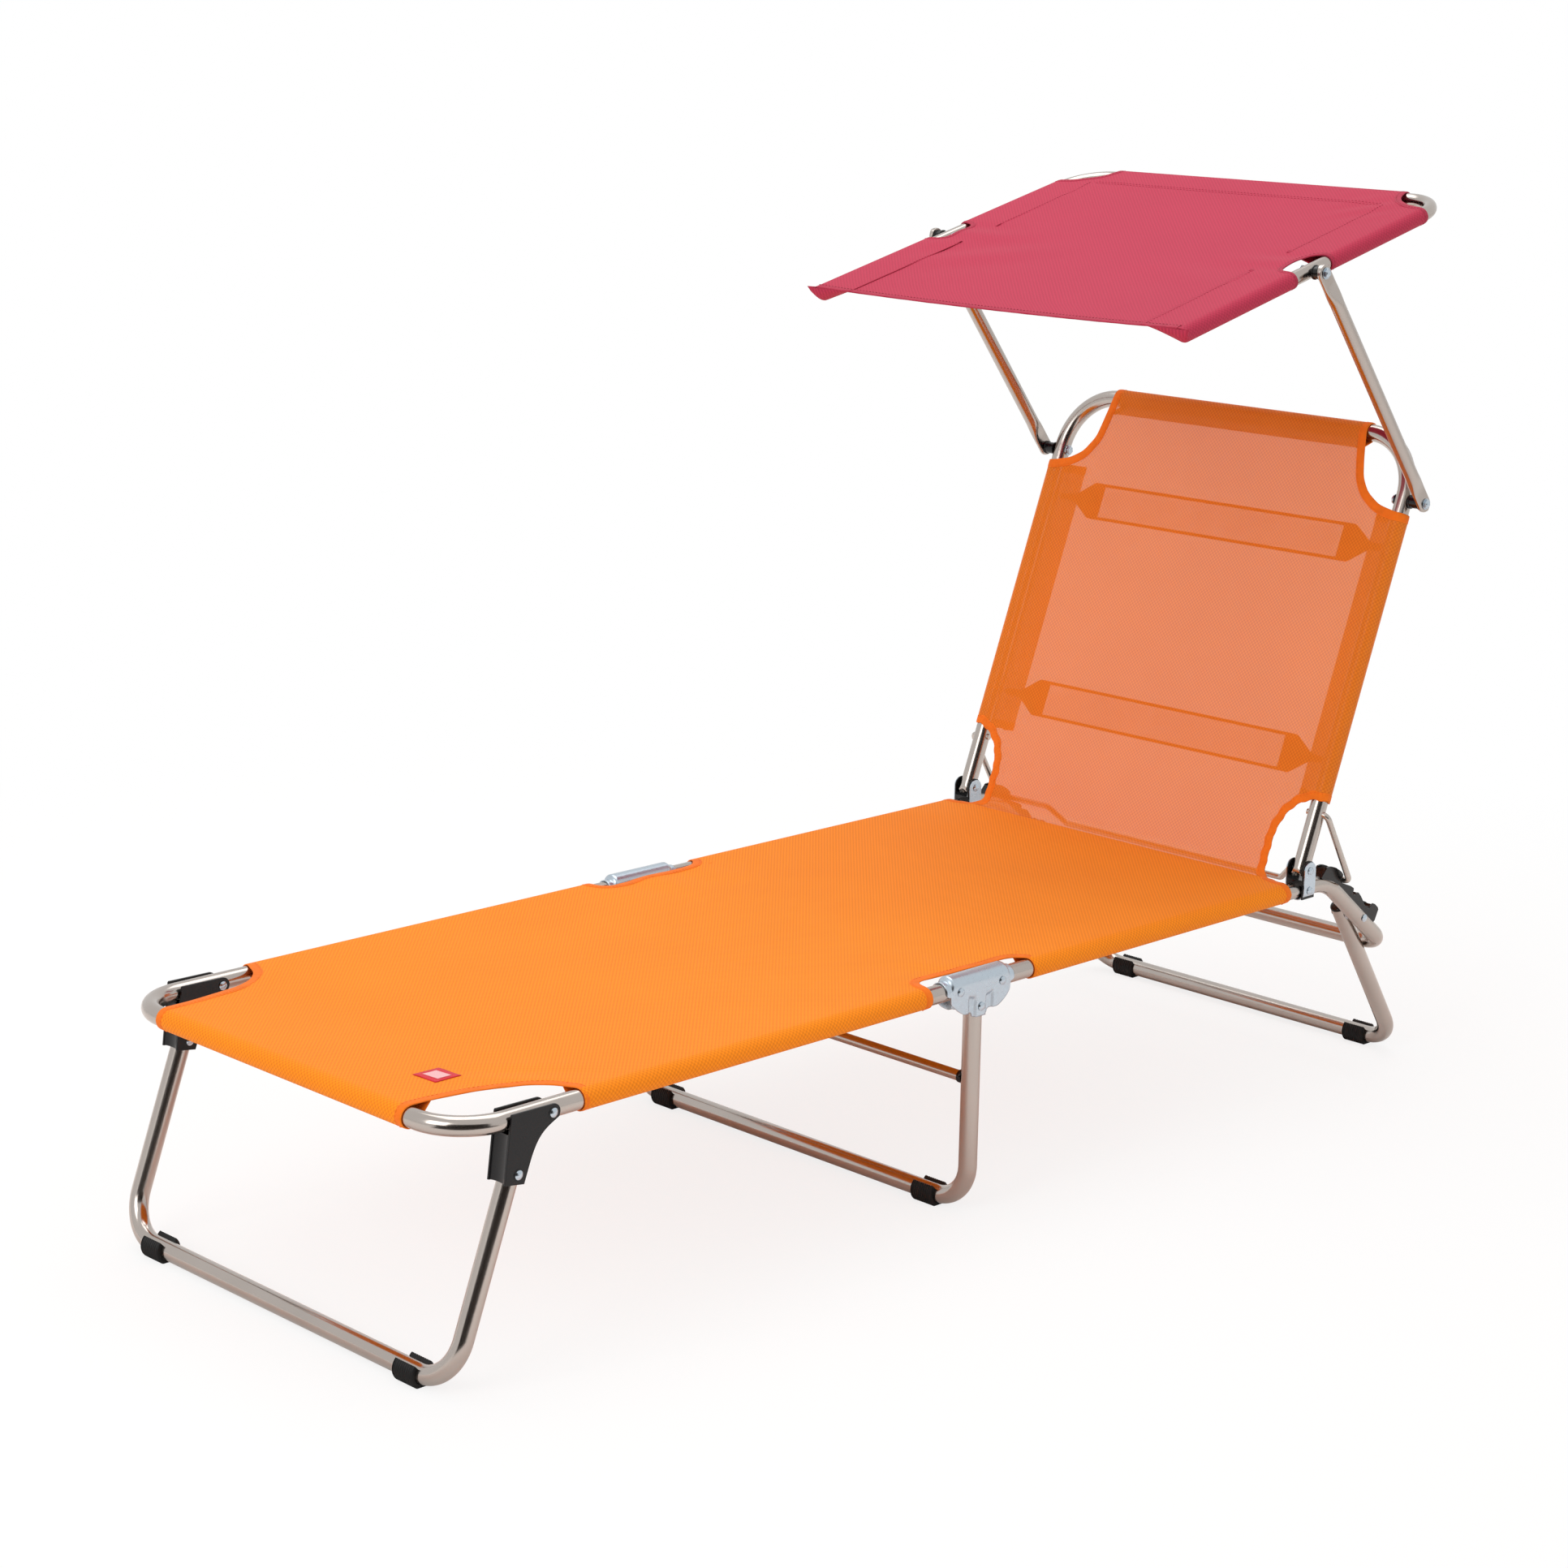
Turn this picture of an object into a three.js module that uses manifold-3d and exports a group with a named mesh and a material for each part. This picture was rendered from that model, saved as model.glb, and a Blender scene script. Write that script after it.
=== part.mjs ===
// Folding sun lounger with a sunshade canopy, in millimetres.
// +Z is up and +Y points to the head end. The pieces are placed from the foot bar's centre line,
// and the finished object stands on the floor with its middle over the origin.
import * as THREE from 'three';
import { mergeVertices } from 'three/addons/utils/BufferGeometryUtils.js';
import Module from 'manifold-3d';

const wasm = await Module();
wasm.setup();

// Clearances and overruns
const fitGap = 0.3;
const cutOverrun = 6;
const weldDistance = 0.001;

// Facets of round shapes
const tubeSides = 16;
const boreSides = 8;
const rivetSides = 8;
const hexSides = 6;
const bendSteps = 4;
const archSteps = 8;

// Bed tubes and rails
const tubeRadius = 11;
const tubeWall = 1.5;
const railHalf = 289;
const railHeight = 284;
const footCornerRadius = 63;

// Fold at the middle: two pivots, one on each side of the middle leg
const midLegY = 766;
const foldOffset = 35.5;
const footFoldY = midLegY - foldOffset;
const seatFoldY = midLegY + foldOffset;

// Head end of the seat frame, where the rails bend down to the crossbar
const slantAngle = THREE.MathUtils.degToRad(39.2);
const slantLength = 175.6;
const railBendRadius = 80;
const crossbarCornerRadius = 32;

// Floor bars and rubber feet
const footSole = 3;
const floorBarHeight = tubeRadius + footSole;
const footOuterRadius = 15.5;
const footLength = 27;
const footOpening = THREE.MathUtils.degToRad(84);
const footArcSteps = 9;
const frontFootInset = 61;
const midFootInset = 60;
const rearFootInset = 57.5;

// Rivets: shank, domed head and its flat top
const shankRadius = 3;
const headRadius = 5.2;
const headTopRadius = 3;
const headHeight = 2.4;

// Front leg
const frontPivotY = 117;
const frontLegLean = THREE.MathUtils.degToRad(20.15);
const frontLegOffset = 24.6;
const frontLegTop = 26.1;
const frontLegRivet = 68.7;
const frontLegBendRadius = 50;

// Front leg bracket, a moulded channel that straddles the rail and holds the leg
const bracketSideGap = 0.9;
const bracketWall = 2.5;
const bracketReach = 56;
const bracketRise = 10;
const bracketFrontDrop = 64;
const bracketFrontSetback = 64.8;
const bracketEyeRadius = 9.4;
const bracketEdgeShares = [[-0.12, -0.2], [-0.24, -0.27], [-0.36, -0.38], [-0.45, -0.51], [-0.52, -0.64], [-0.7, -1.06]];

// Middle leg, its brace and the pressed hinge housing over the fold
const midLegTopDrop = 14;
const midLegBendRadius = 48;
const midLegRivetDrop = 24;
const braceRadius = 6.5;
const braceHeight = 168;
const housingSideGap = 1;
const housingSheet = 1.8;
const housingRise = 4.5;
const foldEndReach = 7.4;
const housingHalfLength = 50;
const housingNeckHalf = 57;
const housingDrop = 36;
const housingNeckShare = 0.1;
const housingEdgeShares = [[1, 0.39], [0.62, 0.78], [0.28, 0.83], [0.26, 1]];

// Rear leg, which folds forward from a rivet through the slanted tubes
const rearLegInset = 26.5;
const rearPivotAlong = 98;
const rearLegBendRadius = 45;
const rearLegOverhang = 11;
const rearRestGap = 1.4;
const rearShoulderRadius = 7;
const capHeight = 4;
const capTopRadius = 9;
const capPlugRadius = 8.2;
const capPlugLength = 5.5;

// Backrest and its hinge on the rails
const backPivotY = 1385;
const slantLead = 53;
const backPivotRise = 26;
const backLean = THREE.MathUtils.degToRad(69);
const backLength = 572;
const backCornerRadius = 76;
const linerWall = 2;
const strapSheet = 1.5;
const strapHalfWidth = 11.5;
const linerHalfWidth = 12.5;
const saddleRise = 6;

// Support bail and the notched racks that it rests in
const bailRodRadius = 4;
const bailHoleAlong = 73.6;
const bailLegOffset = 17;
const bailInset = 14;
const bailTurnInset = 77;
const bailDropLength = 25;
const bailCornerRadius = 8;
const rackWidth = 17;
const rackNotchGap = 0.4;
const rackNotchOpening = THREE.MathUtils.degToRad(65);
const rackLength = 126;
const rackHeight = 27;
const firstNotch = [24.5, 17];
const secondNotch = [58, 17.5];
const thirdNotch = [97.8, 18.5];
const rackHumpShares = [[-0.167, -0.19], [-0.155, 0.41], [-0.08, 0.63], [0.05, 0.8], [0.145, 0.81]];
const firstToothShares = [[0.262, 0.56], [0.35, 0.69], [0.41, 0.73]];
const secondToothShares = [[0.52, 0.76], [0.64, 0.66], [0.7, 0.56]];
const rackEndShares = [[0.84, 1], [0.955, 1], [0.99, 0.37], [0.95, 0]];

// Canopy, its arms and their bolts
const canopyRodRadius = 9;
const canopyWall = 1.2;
const canopyInset = 23;
const canopyTilt = THREE.MathUtils.degToRad(14.3);
const canopyRearBar = 288;
const canopyFront = 240;
const canopyCornerRadius = 52;
const armBoltInset = 82;
const armOffset = 31;
const armReach = 386.3;
const armLean = THREE.MathUtils.degToRad(127.96);
const armFlatHalf = 3;
const armEyeRadius = 11;
const armFlatLength = 18;
const armTaperLength = 34;
const boltRadius = 3;
const boltHeadRadius = 6;
const boltHeadHeight = 4;
const spacerRadius = 9;

// Cloth panels and the sleeves that carry them
const clothThickness = 2;
const sleeveRadius = 14;
const footSleeveInset = 72;
const footCutoutLead = 45;
const footCutoutBack = 71;
const seatCutoutLead = 94;
const seatSleeveBack = 35;
const seatPanelBack = 13;
const midCutoutInset = 17.5;
const midCutoutLead = 16;
const foldSlit = 2;
const footCutoutShares = [[0, 0], [0.03, 0.18], [0.1, 0.4], [0.2, 0.62], [0.36, 0.8], [0.62, 0.93], [1, 1]];
const panelEndInset = 46;
const seatCutoutShares = [[1, 0], [0.45, 0.25], [0.15, 0.55], [0, 1]];
const backPanelStart = 5;
const backSleeveStart = 90;
const backSleeveInset = 100;
const topSleeveInset = 76;
const lowCutoutShares = [[0, 0], [0, 0.4], [0.2, 0.7], [0.55, 0.9], [1, 1]];
const topCutoutShares = [[1, 0], [0.64, 0.06], [0.35, 0.2], [0.17, 0.4], [0.08, 0.68], [0, 1]];
const bandHalfHeight = 24;
const bandInset = 81;
const bandNeckHalf = 8;
const bandNeckInset = 51;
const upperBandInset = 145;
const lowerBandAlong = 143;
const bandDepth = 8;
const canopySleeveRadius = 11.8;
const canopyTip = 252;
const canopyFrontSag = 8;
const canopySleeveInset = 54;
const canopyTopSleeveInset = 60;
const canopyCutoutHalf = 35;
const canopyCutoutInset = 21;
const canopyCornerShares = [[1, 0], [0.62, 0.1], [0.32, 0.32], [0.1, 0.62], [0, 1]];

// Places that follow from the sizes above
const slantStartY = backPivotY + slantLead;
const frontFootX = railHalf - frontFootInset;
const midFootX = railHalf - midFootInset;
const rearLegHalf = railHalf - rearLegInset;
const rearFootX = rearLegHalf - rearFootInset;
const midLegTop = railHeight - midLegTopDrop;
const midLegRivetHeight = railHeight - midLegRivetDrop;
const bailLegX = railHalf + bailLegOffset;
const bailInnerX = railHalf - bailTurnInset;
const armX = railHalf + armOffset;
const armBoltAlong = backLength - armBoltInset;
const canopyHalf = armX - canopyInset;
const footSleeveHalf = railHalf - footSleeveInset;
const railSleeveStart = frontPivotY + footCutoutLead;
const railSleeveEnd = midLegY - footCutoutBack;
const seatSleeveStart = midLegY + seatCutoutLead;
const seatSleeveEnd = backPivotY - seatSleeveBack;
const seatPanelEnd = backPivotY - seatPanelBack;
const midCutoutX = railHalf - midCutoutInset;
const panelEndX = railHalf - panelEndInset;
const backSleeveEnd = backLength - backSleeveInset;
const topSleeveHalf = railHalf - topSleeveInset;
const bandHalfLength = railHalf - bandInset;
const bandNeckStart = railHalf - bandNeckInset;
const upperBandAlong = backLength - upperBandInset;
const canopySleeveEnd = canopyRearBar - canopySleeveInset;
const canopyTopSleeveHalf = canopyHalf - canopyTopSleeveInset;
const canopyCutoutX = canopyHalf - canopyCutoutInset;
const slant = [Math.cos(slantAngle), -Math.sin(slantAngle)];
const slantNormal = [Math.sin(slantAngle), Math.cos(slantAngle)];
const crossbar = onSlant(slantLength, 0);
const rearPivot = onSlant(rearPivotAlong, 0);
const rearLegTurn = Math.asin((2 * tubeRadius + rearRestGap) / (slantLength - rearPivotAlong));
const rearLegLean = Math.PI / 2 - slantAngle - rearLegTurn;
const rearLegLength = (rearPivot[1] - floorBarHeight) / Math.cos(rearLegLean);
const rearFloorY = rearPivot[0] + rearLegLength * Math.sin(rearLegLean);
const frontLegAxis = [
  frontPivotY - frontLegOffset * Math.cos(frontLegLean),
  railHeight + frontLegOffset * Math.sin(frontLegLean),
];
const frontLegLength = (frontLegAxis[1] - floorBarHeight) / Math.cos(frontLegLean);
const frontFloorY = frontLegAxis[0] - frontLegLength * Math.sin(frontLegLean);
const frontRivetPlace = [
  frontLegAxis[0] - frontLegRivet * Math.sin(frontLegLean),
  frontLegAxis[1] - frontLegRivet * Math.cos(frontLegLean),
];
const backPivotHeight = railHeight + backPivotRise;
const bailPivot = onBackrest(bailHoleAlong);
const armPivot = onBackrest(armBoltAlong);
const bailRest = onSlant(...firstNotch);
const bailReach = Math.hypot(bailRest[0] - bailPivot[0], bailRest[1] - bailPivot[1]);
const bailLean = Math.atan2(bailRest[0] - bailPivot[0], bailPivot[1] - bailRest[1]);
const canopyPivot = [armPivot[0] + armReach * Math.cos(armLean), armPivot[1] + armReach * Math.sin(armLean)];
const linerOuter = tubeRadius + fitGap + linerWall;
const strapInner = linerOuter + fitGap;
const strapOuter = strapInner + strapSheet;
const objectMiddleY = (frontFloorY + rearFloorY) / 2;
const fullHalfWidth = railHalf + sleeveRadius + cutOverrun;

// A place given along the slanted tube's axis and square to it, as Y and Z
function onSlant(along, rise) {
  return [
    slantStartY + along * slant[0] + rise * slantNormal[0],
    railHeight + along * slant[1] + rise * slantNormal[1],
  ];
}

// A place on the backrest tube's axis, as Y and Z
function onBackrest(along) {
  return [
    backPivotY + along * Math.cos(backLean),
    railHeight + backPivotRise + along * Math.sin(backLean),
  ];
}

// Finishes
const finishes = {
  aluminium: { color: 0xc9c6c2, roughness: 0.32, metalness: 1 },
  zinc: { color: 0xb9c4cc, roughness: 0.28, metalness: 1 },
  glossBlack: { color: 0x17161a, roughness: 0.25, metalness: 0 },
  mattBlack: { color: 0x1d1c1e, roughness: 0.6, metalness: 0 },
  rubber: { color: 0x141414, roughness: 0.85, metalness: 0 },
  orangeCloth: { color: 0xff8a1e, roughness: 0.8, metalness: 0 },
  darkOrangeCloth: { color: 0xd65a0a, roughness: 0.8, metalness: 0 },
  raspberryCloth: { color: 0xc7385c, roughness: 0.8, metalness: 0 },
};

// A path of straights joined by round bends, with its stations only where it turns
class BentPath extends THREE.Curve {
  constructor(corners, bendRadii) {
    super();
    this.stations = [];
    const last = corners.length - 1;
    corners.forEach((corner, i) => {
      const ahead = i < last ? corners[i + 1].clone().sub(corner).normalize() : null;
      const behind = i > 0 ? corner.clone().sub(corners[i - 1]).normalize() : null;
      if (ahead && behind) this.addBend(corner, behind, ahead, bendRadii[i - 1]);
      else this.stations.push({ point: corner, tangent: ahead ?? behind });
    });
  }

  addBend(corner, behind, ahead, radius) {
    const turn = behind.angleTo(ahead);
    const start = corner.clone().addScaledVector(behind, -radius * Math.tan(turn / 2));
    const inward = ahead.clone().addScaledVector(behind, -behind.dot(ahead)).normalize();
    for (let k = 0; k <= bendSteps; k += 1) {
      const angle = turn * k / bendSteps;
      const point = start.clone().addScaledVector(behind, radius * Math.sin(angle));
      point.addScaledVector(inward, radius * (1 - Math.cos(angle)));
      const tangent = behind.clone().multiplyScalar(Math.cos(angle));
      tangent.addScaledVector(inward, Math.sin(angle));
      this.stations.push({ point, tangent });
    }
  }

  get steps() {
    return this.stations.length - 1;
  }

  getPoint(share, target = new THREE.Vector3()) {
    return target.copy(this.stations[Math.round(share * this.steps)].point);
  }

  getPointAt(share, target) {
    return this.getPoint(share, target);
  }

  getTangentAt(share, target = new THREE.Vector3()) {
    return target.copy(this.stations[Math.round(share * this.steps)].tangent);
  }
}

// Points of a regular polygon, as pairs
function polygon(radius, sides) {
  return arc(0, 0, radius, 0, 2 * Math.PI, sides).slice(0, sides);
}

// Points along an arc, as pairs
function arc(centreA, centreB, radius, from, to, steps) {
  return Array.from({ length: steps + 1 }, (_, k) => {
    const angle = from + (to - from) * k / steps;
    return [centreA + radius * Math.cos(angle), centreB + radius * Math.sin(angle)];
  });
}

// Polygon radius whose flats clear a round piece of the given radius
function clearing(radius, sides) {
  return (radius + fitGap) / Math.cos(Math.PI / sides);
}

function outlineOf(points) {
  return new THREE.Shape(points.map(([a, b]) => new THREE.Vector2(a, b)));
}

// Tube section: round outside with a coarser bore
function tubeSection(radius, bore) {
  const section = outlineOf(polygon(radius, tubeSides));
  section.holes.push(new THREE.Path(polygon(bore, boreSides).map(([a, b]) => new THREE.Vector2(a, b))));
  return section;
}

// Turns a closed geometry into a solid that can be cut and joined
function solid(geometry) {
  const bare = geometry.clone();
  bare.deleteAttribute('normal');
  bare.deleteAttribute('uv');
  const merged = mergeVertices(bare, weldDistance);
  const corners = merged.index.array;
  const triVerts = [];
  for (let i = 0; i < corners.length; i += 3) {
    const [a, b, c] = [corners[i], corners[i + 1], corners[i + 2]];
    if (a !== b && b !== c && c !== a) triVerts.push(a, b, c);
  }
  const vertProperties = Float32Array.from(merged.attributes.position.array);
  return new wasm.Manifold(new wasm.Mesh({ numProp: 3, vertProperties, triVerts: Uint32Array.from(triVerts) }));
}

function geometryOf(body) {
  const mesh = body.getMesh();
  const geometry = new THREE.BufferGeometry();
  geometry.setAttribute('position', new THREE.BufferAttribute(mesh.vertProperties, mesh.numProp));
  geometry.setIndex(new THREE.BufferAttribute(mesh.triVerts, 1));
  const faceted = geometry.toNonIndexed();
  faceted.computeVertexNormals();
  return faceted;
}

// The same geometry on the other side of the middle plane
function mirrored(geometry) {
  const copy = geometry.clone().scale(-1, 1, 1);
  const place = copy.attributes.position;
  const corner = new THREE.Vector3();
  const other = new THREE.Vector3();
  for (let i = 0; i < place.count; i += 3) {
    corner.fromBufferAttribute(place, i + 1);
    other.fromBufferAttribute(place, i + 2);
    place.setXYZ(i + 1, other.x, other.y, other.z);
    place.setXYZ(i + 2, corner.x, corner.y, corner.z);
  }
  copy.computeVertexNormals();
  return copy;
}

function sweep(section, path) {
  return solid(new THREE.ExtrudeGeometry(section, { steps: path.steps, extrudePath: path, bevelEnabled: false }));
}

function extruded(section, length) {
  return new THREE.ExtrudeGeometry(section, { steps: 1, depth: length, bevelEnabled: false });
}

// A prism along X from an outline in Y and Z
function prismX(points, fromX, toX) {
  const turn = new THREE.Matrix4().makeBasis(
    new THREE.Vector3(0, 1, 0), new THREE.Vector3(0, 0, 1), new THREE.Vector3(1, 0, 0));
  return solid(extruded(outlineOf(points), toX - fromX).applyMatrix4(turn).translate(fromX, 0, 0));
}

// A prism along Y from an outline in X and Z
function prismY(points, fromY, toY) {
  const turn = new THREE.Matrix4().makeBasis(
    new THREE.Vector3(0, 0, 1), new THREE.Vector3(1, 0, 0), new THREE.Vector3(0, 1, 0));
  const outline = outlineOf(points.map(([x, z]) => [z, x]));
  return solid(extruded(outline, toY - fromY).applyMatrix4(turn).translate(0, fromY, 0));
}

// A prism along Z from an outline in X and Y
function prismZ(points, fromZ, toZ) {
  return solid(extruded(outlineOf(points), toZ - fromZ).translate(0, 0, fromZ));
}

// A turned piece about an axis along X, from pairs of radius and place along X
function turnedX(profile, y, z, sides) {
  const points = profile.map(([radius, x]) => new THREE.Vector2(radius, x));
  const geometry = new THREE.LatheGeometry(points, sides).rotateZ(-Math.PI / 2);
  return solid(geometry.translate(0, y, z));
}

// A turned piece about an axis along Z
function turnedZ(profile, x, y, sides) {
  const points = profile.map(([radius, z]) => new THREE.Vector2(radius, z));
  return solid(new THREE.LatheGeometry(points, sides).rotateX(Math.PI / 2).translate(x, y, 0));
}

// A drill along X that runs through both sides of the object
function drill(radius, y, z) {
  const reach = armX + tubeRadius + cutOverrun;
  return turnedX([[0, -reach], [radius, -reach], [radius, reach], [0, reach]], y, z, boreSides);
}

const rivetHole = clearing(shankRadius, boreSides);
const boltHole = clearing(boltRadius, boreSides);

// A rivet through everything between two faces, with a head outside each face
function rivet(innerFace, outerFace, y, z) {
  const inner = innerFace - fitGap;
  const outer = outerFace + fitGap;
  return turnedX([
    [0, inner - headHeight], [headTopRadius, inner - headHeight], [headRadius, inner], [shankRadius, inner],
    [shankRadius, outer], [headRadius, outer], [headTopRadius, outer + headHeight], [0, outer + headHeight],
  ], y, z, rivetSides);
}

// Cuts a tube's end round about a pivot, reaching past it; facing is 1 when the end points to +Y
function endTrim(y, z, reach, facing) {
  const far = facing * (tubeRadius + cutOverrun);
  const high = tubeRadius + cutOverrun;
  const rim = arc(0, 0, 1, -Math.PI / 2, Math.PI / 2, archSteps)
    .map(([a, b]) => [y + facing * reach * a, z + tubeRadius * b]);
  return prismX([...rim, [y, z + high], [y + far, z + high], [y + far, z - high], [y, z - high]],
    -fullHalfWidth, fullHalfWidth);
}

// A U of tube lying in one plane, from two open ends to a bar across
function tubeU(half, ends, bar, cornerRadius, radius, wall) {
  const corners = [ends.clone().setX(-half), bar.clone().setX(-half), bar.clone().setX(half), ends.clone().setX(half)];
  return sweep(tubeSection(radius, radius - wall), new BentPath(corners, [cornerRadius, cornerRadius]));
}

const at = (y, z) => new THREE.Vector3(0, y, z);

// Bed frame tubes
function footFrameTube() {
  return tubeU(railHalf, at(footFoldY + tubeRadius, railHeight), at(0, railHeight), footCornerRadius, tubeRadius, tubeWall)
    .subtract(endTrim(footFoldY, railHeight, foldEndReach, 1))
    .subtract(drill(rivetHole, footFoldY, railHeight))
    .subtract(drill(rivetHole, frontPivotY, railHeight));
}

function seatFramePath(half) {
  const side = (x) => [at(seatFoldY - tubeRadius, railHeight).setX(x), at(slantStartY, railHeight).setX(x),
    at(...crossbar).setX(x)];
  const radii = [railBendRadius, crossbarCornerRadius, crossbarCornerRadius, railBendRadius];
  return new BentPath([...side(-half), ...side(half).reverse()], radii);
}

function seatFrameTube() {
  return sweep(tubeSection(tubeRadius, tubeRadius - tubeWall), seatFramePath(railHalf))
    .subtract(endTrim(seatFoldY, railHeight, foldEndReach, -1))
    .subtract(drill(rivetHole, seatFoldY, railHeight))
    .subtract(drill(rivetHole, backPivotY, railHeight))
    .subtract(drill(rivetHole, ...rearPivot));
}

// Backrest tube in the backrest's own plane: Y runs up along it and Z faces the sitter
function backrestTube() {
  const bailHole = clearing(bailRodRadius, boreSides);
  return tubeU(railHalf, at(-tubeRadius, 0), at(backLength, 0), backCornerRadius, tubeRadius, tubeWall)
    .subtract(endTrim(0, 0, tubeRadius, -1))
    .subtract(drill(rivetHole, 0, 0))
    .subtract(drill(bailHole, bailHoleAlong, 0))
    .subtract(drill(boltHole, armBoltAlong, 0));
}

// Legs in their own planes, with Z along the leg
function frontLegTube() {
  return tubeU(railHalf, at(0, -frontLegTop), at(0, -frontLegLength), frontLegBendRadius, tubeRadius, tubeWall)
    .subtract(drill(rivetHole, 0, -frontLegRivet));
}

function midLegTube() {
  return tubeU(railHalf, at(midLegY, midLegTop), at(midLegY, floorBarHeight), midLegBendRadius, tubeRadius, tubeWall)
    .subtract(drill(rivetHole, midLegY, midLegRivetHeight));
}

function midLegBrace() {
  const end = railHalf - tubeRadius - fitGap;
  return turnedX([[0, -end], [braceRadius, -end], [braceRadius, end], [0, end]], midLegY, braceHeight, tubeSides);
}

function rearLegTube() {
  return tubeU(rearLegHalf, at(0, rearLegOverhang), at(0, -rearLegLength), rearLegBendRadius, tubeRadius, tubeWall)
    .subtract(drill(rivetHole, 0, 0));
}

function rearLegCap() {
  const seat = rearLegOverhang + fitGap;
  return turnedZ([
    [0, seat - capPlugLength], [capPlugRadius, seat - capPlugLength], [capPlugRadius, seat],
    [tubeRadius, seat], [capTopRadius, seat + capHeight], [0, seat + capHeight],
  ], rearLegHalf, 0, tubeSides);
}

// Rear leg rivet with a shoulder that keeps the leg clear of the slanted tube
function rearLegRivet() {
  const inner = rearLegHalf - tubeRadius - fitGap;
  const outer = railHalf + tubeRadius + fitGap;
  const shoulderIn = rearLegHalf + tubeRadius + fitGap;
  const shoulderOut = railHalf - tubeRadius - fitGap;
  return turnedX([
    [0, inner - headHeight], [headTopRadius, inner - headHeight], [headRadius, inner], [shankRadius, inner],
    [shankRadius, shoulderIn], [rearShoulderRadius, shoulderIn],
    [rearShoulderRadius, shoulderOut], [shankRadius, shoulderOut],
    [shankRadius, outer], [headRadius, outer], [headTopRadius, outer + headHeight], [0, outer + headHeight],
  ], ...rearPivot, rivetSides);
}

// A rubber foot that clips over a floor bar from below and stands flat on the floor
function rubberFoot(x, barY) {
  const gap = footOpening / 2;
  const start = Math.PI / 2 + gap;
  const end = 2.5 * Math.PI - gap;
  const outer = arc(barY, floorBarHeight, footOuterRadius, start, end, footArcSteps)
    .map(([y, z]) => [y, Math.max(z, 0)]);
  const inner = arc(barY, floorBarHeight, clearing(tubeRadius, footArcSteps), end, start, footArcSteps);
  return prismX([...outer, ...inner], x - footLength / 2, x + footLength / 2);
}

// Front leg bracket: two cheeks beside the rail, joined by a web in front of the leg
function bracketOutline() {
  const eye = arc(frontPivotY, railHeight, bracketEyeRadius, Math.PI / 2, -Math.PI / 6, archSteps / 2);
  const edge = bracketEdgeShares.map(([a, b]) => [frontPivotY + a * bracketReach, railHeight + b * bracketFrontDrop]);
  return [...bracketFront(), ...eye, ...edge];
}

function bracketFront() {
  return [
    [frontPivotY - bracketFrontSetback, railHeight - bracketFrontDrop],
    [frontPivotY - bracketReach, railHeight + bracketRise],
  ];
}

function frontLegBracket() {
  const inner = tubeRadius + bracketSideGap;
  const outer = inner + bracketWall;
  const cheek = (side) => prismX(bracketOutline(), railHalf + Math.min(side * inner, side * outer),
    railHalf + Math.max(side * inner, side * outer));
  const [low, high] = bracketFront();
  const webTop = railHeight - tubeRadius - fitGap;
  const share = (webTop - low[1]) / (high[1] - low[1]);
  const top = [low[0] + share * (high[0] - low[0]), webTop];
  const web = prismX([low, top, [top[0] + bracketWall, webTop], [low[0] + bracketWall, low[1]]],
    railHalf - outer, railHalf + outer);
  return cheek(1).add(cheek(-1)).add(web)
    .subtract(drill(rivetHole, frontPivotY, railHeight))
    .subtract(drill(rivetHole, ...frontRivetPlace));
}

// Hinge housing: a domed channel over the tube ends, cut to its side outline
function hingeHousing() {
  const inner = tubeRadius + housingSideGap;
  const outer = inner + housingSheet;
  const foot = railHeight - housingDrop - cutOverrun;
  const crown = railHeight + housingRise;
  const section = [
    [railHalf + outer, foot], ...arc(railHalf, crown, outer, 0, Math.PI, archSteps), [railHalf - outer, foot],
    [railHalf - inner, foot], ...arc(railHalf, crown, inner, Math.PI, 0, archSteps), [railHalf + inner, foot],
  ];
  const top = crown + outer + cutOverrun;
  const neck = railHeight - housingNeckShare * housingDrop;
  const edge = housingEdgeShares.map(([a, b]) => [a * housingHalfLength, railHeight - b * housingDrop]);
  const half = [[housingNeckHalf, top], [housingNeckHalf, railHeight], [housingHalfLength, neck], ...edge];
  const place = (side) => half.map(([a, z]) => [midLegY + side * a, z]);
  return prismY(section, midLegY - housingNeckHalf - cutOverrun, midLegY + housingNeckHalf + cutOverrun)
    .intersect(prismX([...place(1), ...place(-1).reverse()], railHalf - outer - cutOverrun, railHalf + outer + cutOverrun))
    .subtract(drill(rivetHole, footFoldY, railHeight))
    .subtract(drill(rivetHole, seatFoldY, railHeight))
    .subtract(drill(rivetHole, midLegY, midLegRivetHeight));
}

const housingFace = tubeRadius + housingSideGap + housingSheet;
const bracketFace = tubeRadius + bracketSideGap + bracketWall;
const housingRivet = (y, z) => rivet(railHalf - housingFace, railHalf + housingFace, y, z);
const bracketRivet = (y, z) => rivet(railHalf - bracketFace, railHalf + bracketFace, y, z);
const clevisRivet = (z) => rivet(railHalf - strapOuter, railHalf + strapOuter, backPivotY, z);

// Side outline of the backrest hinge: straight sides with a round top about the pivot
function clevisOutline(halfWidth, bottom) {
  const crown = arc(backPivotY, backPivotHeight, halfWidth, 0, Math.PI, archSteps);
  return [[backPivotY + halfWidth, bottom], ...crown, [backPivotY - halfWidth, bottom]];
}

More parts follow.
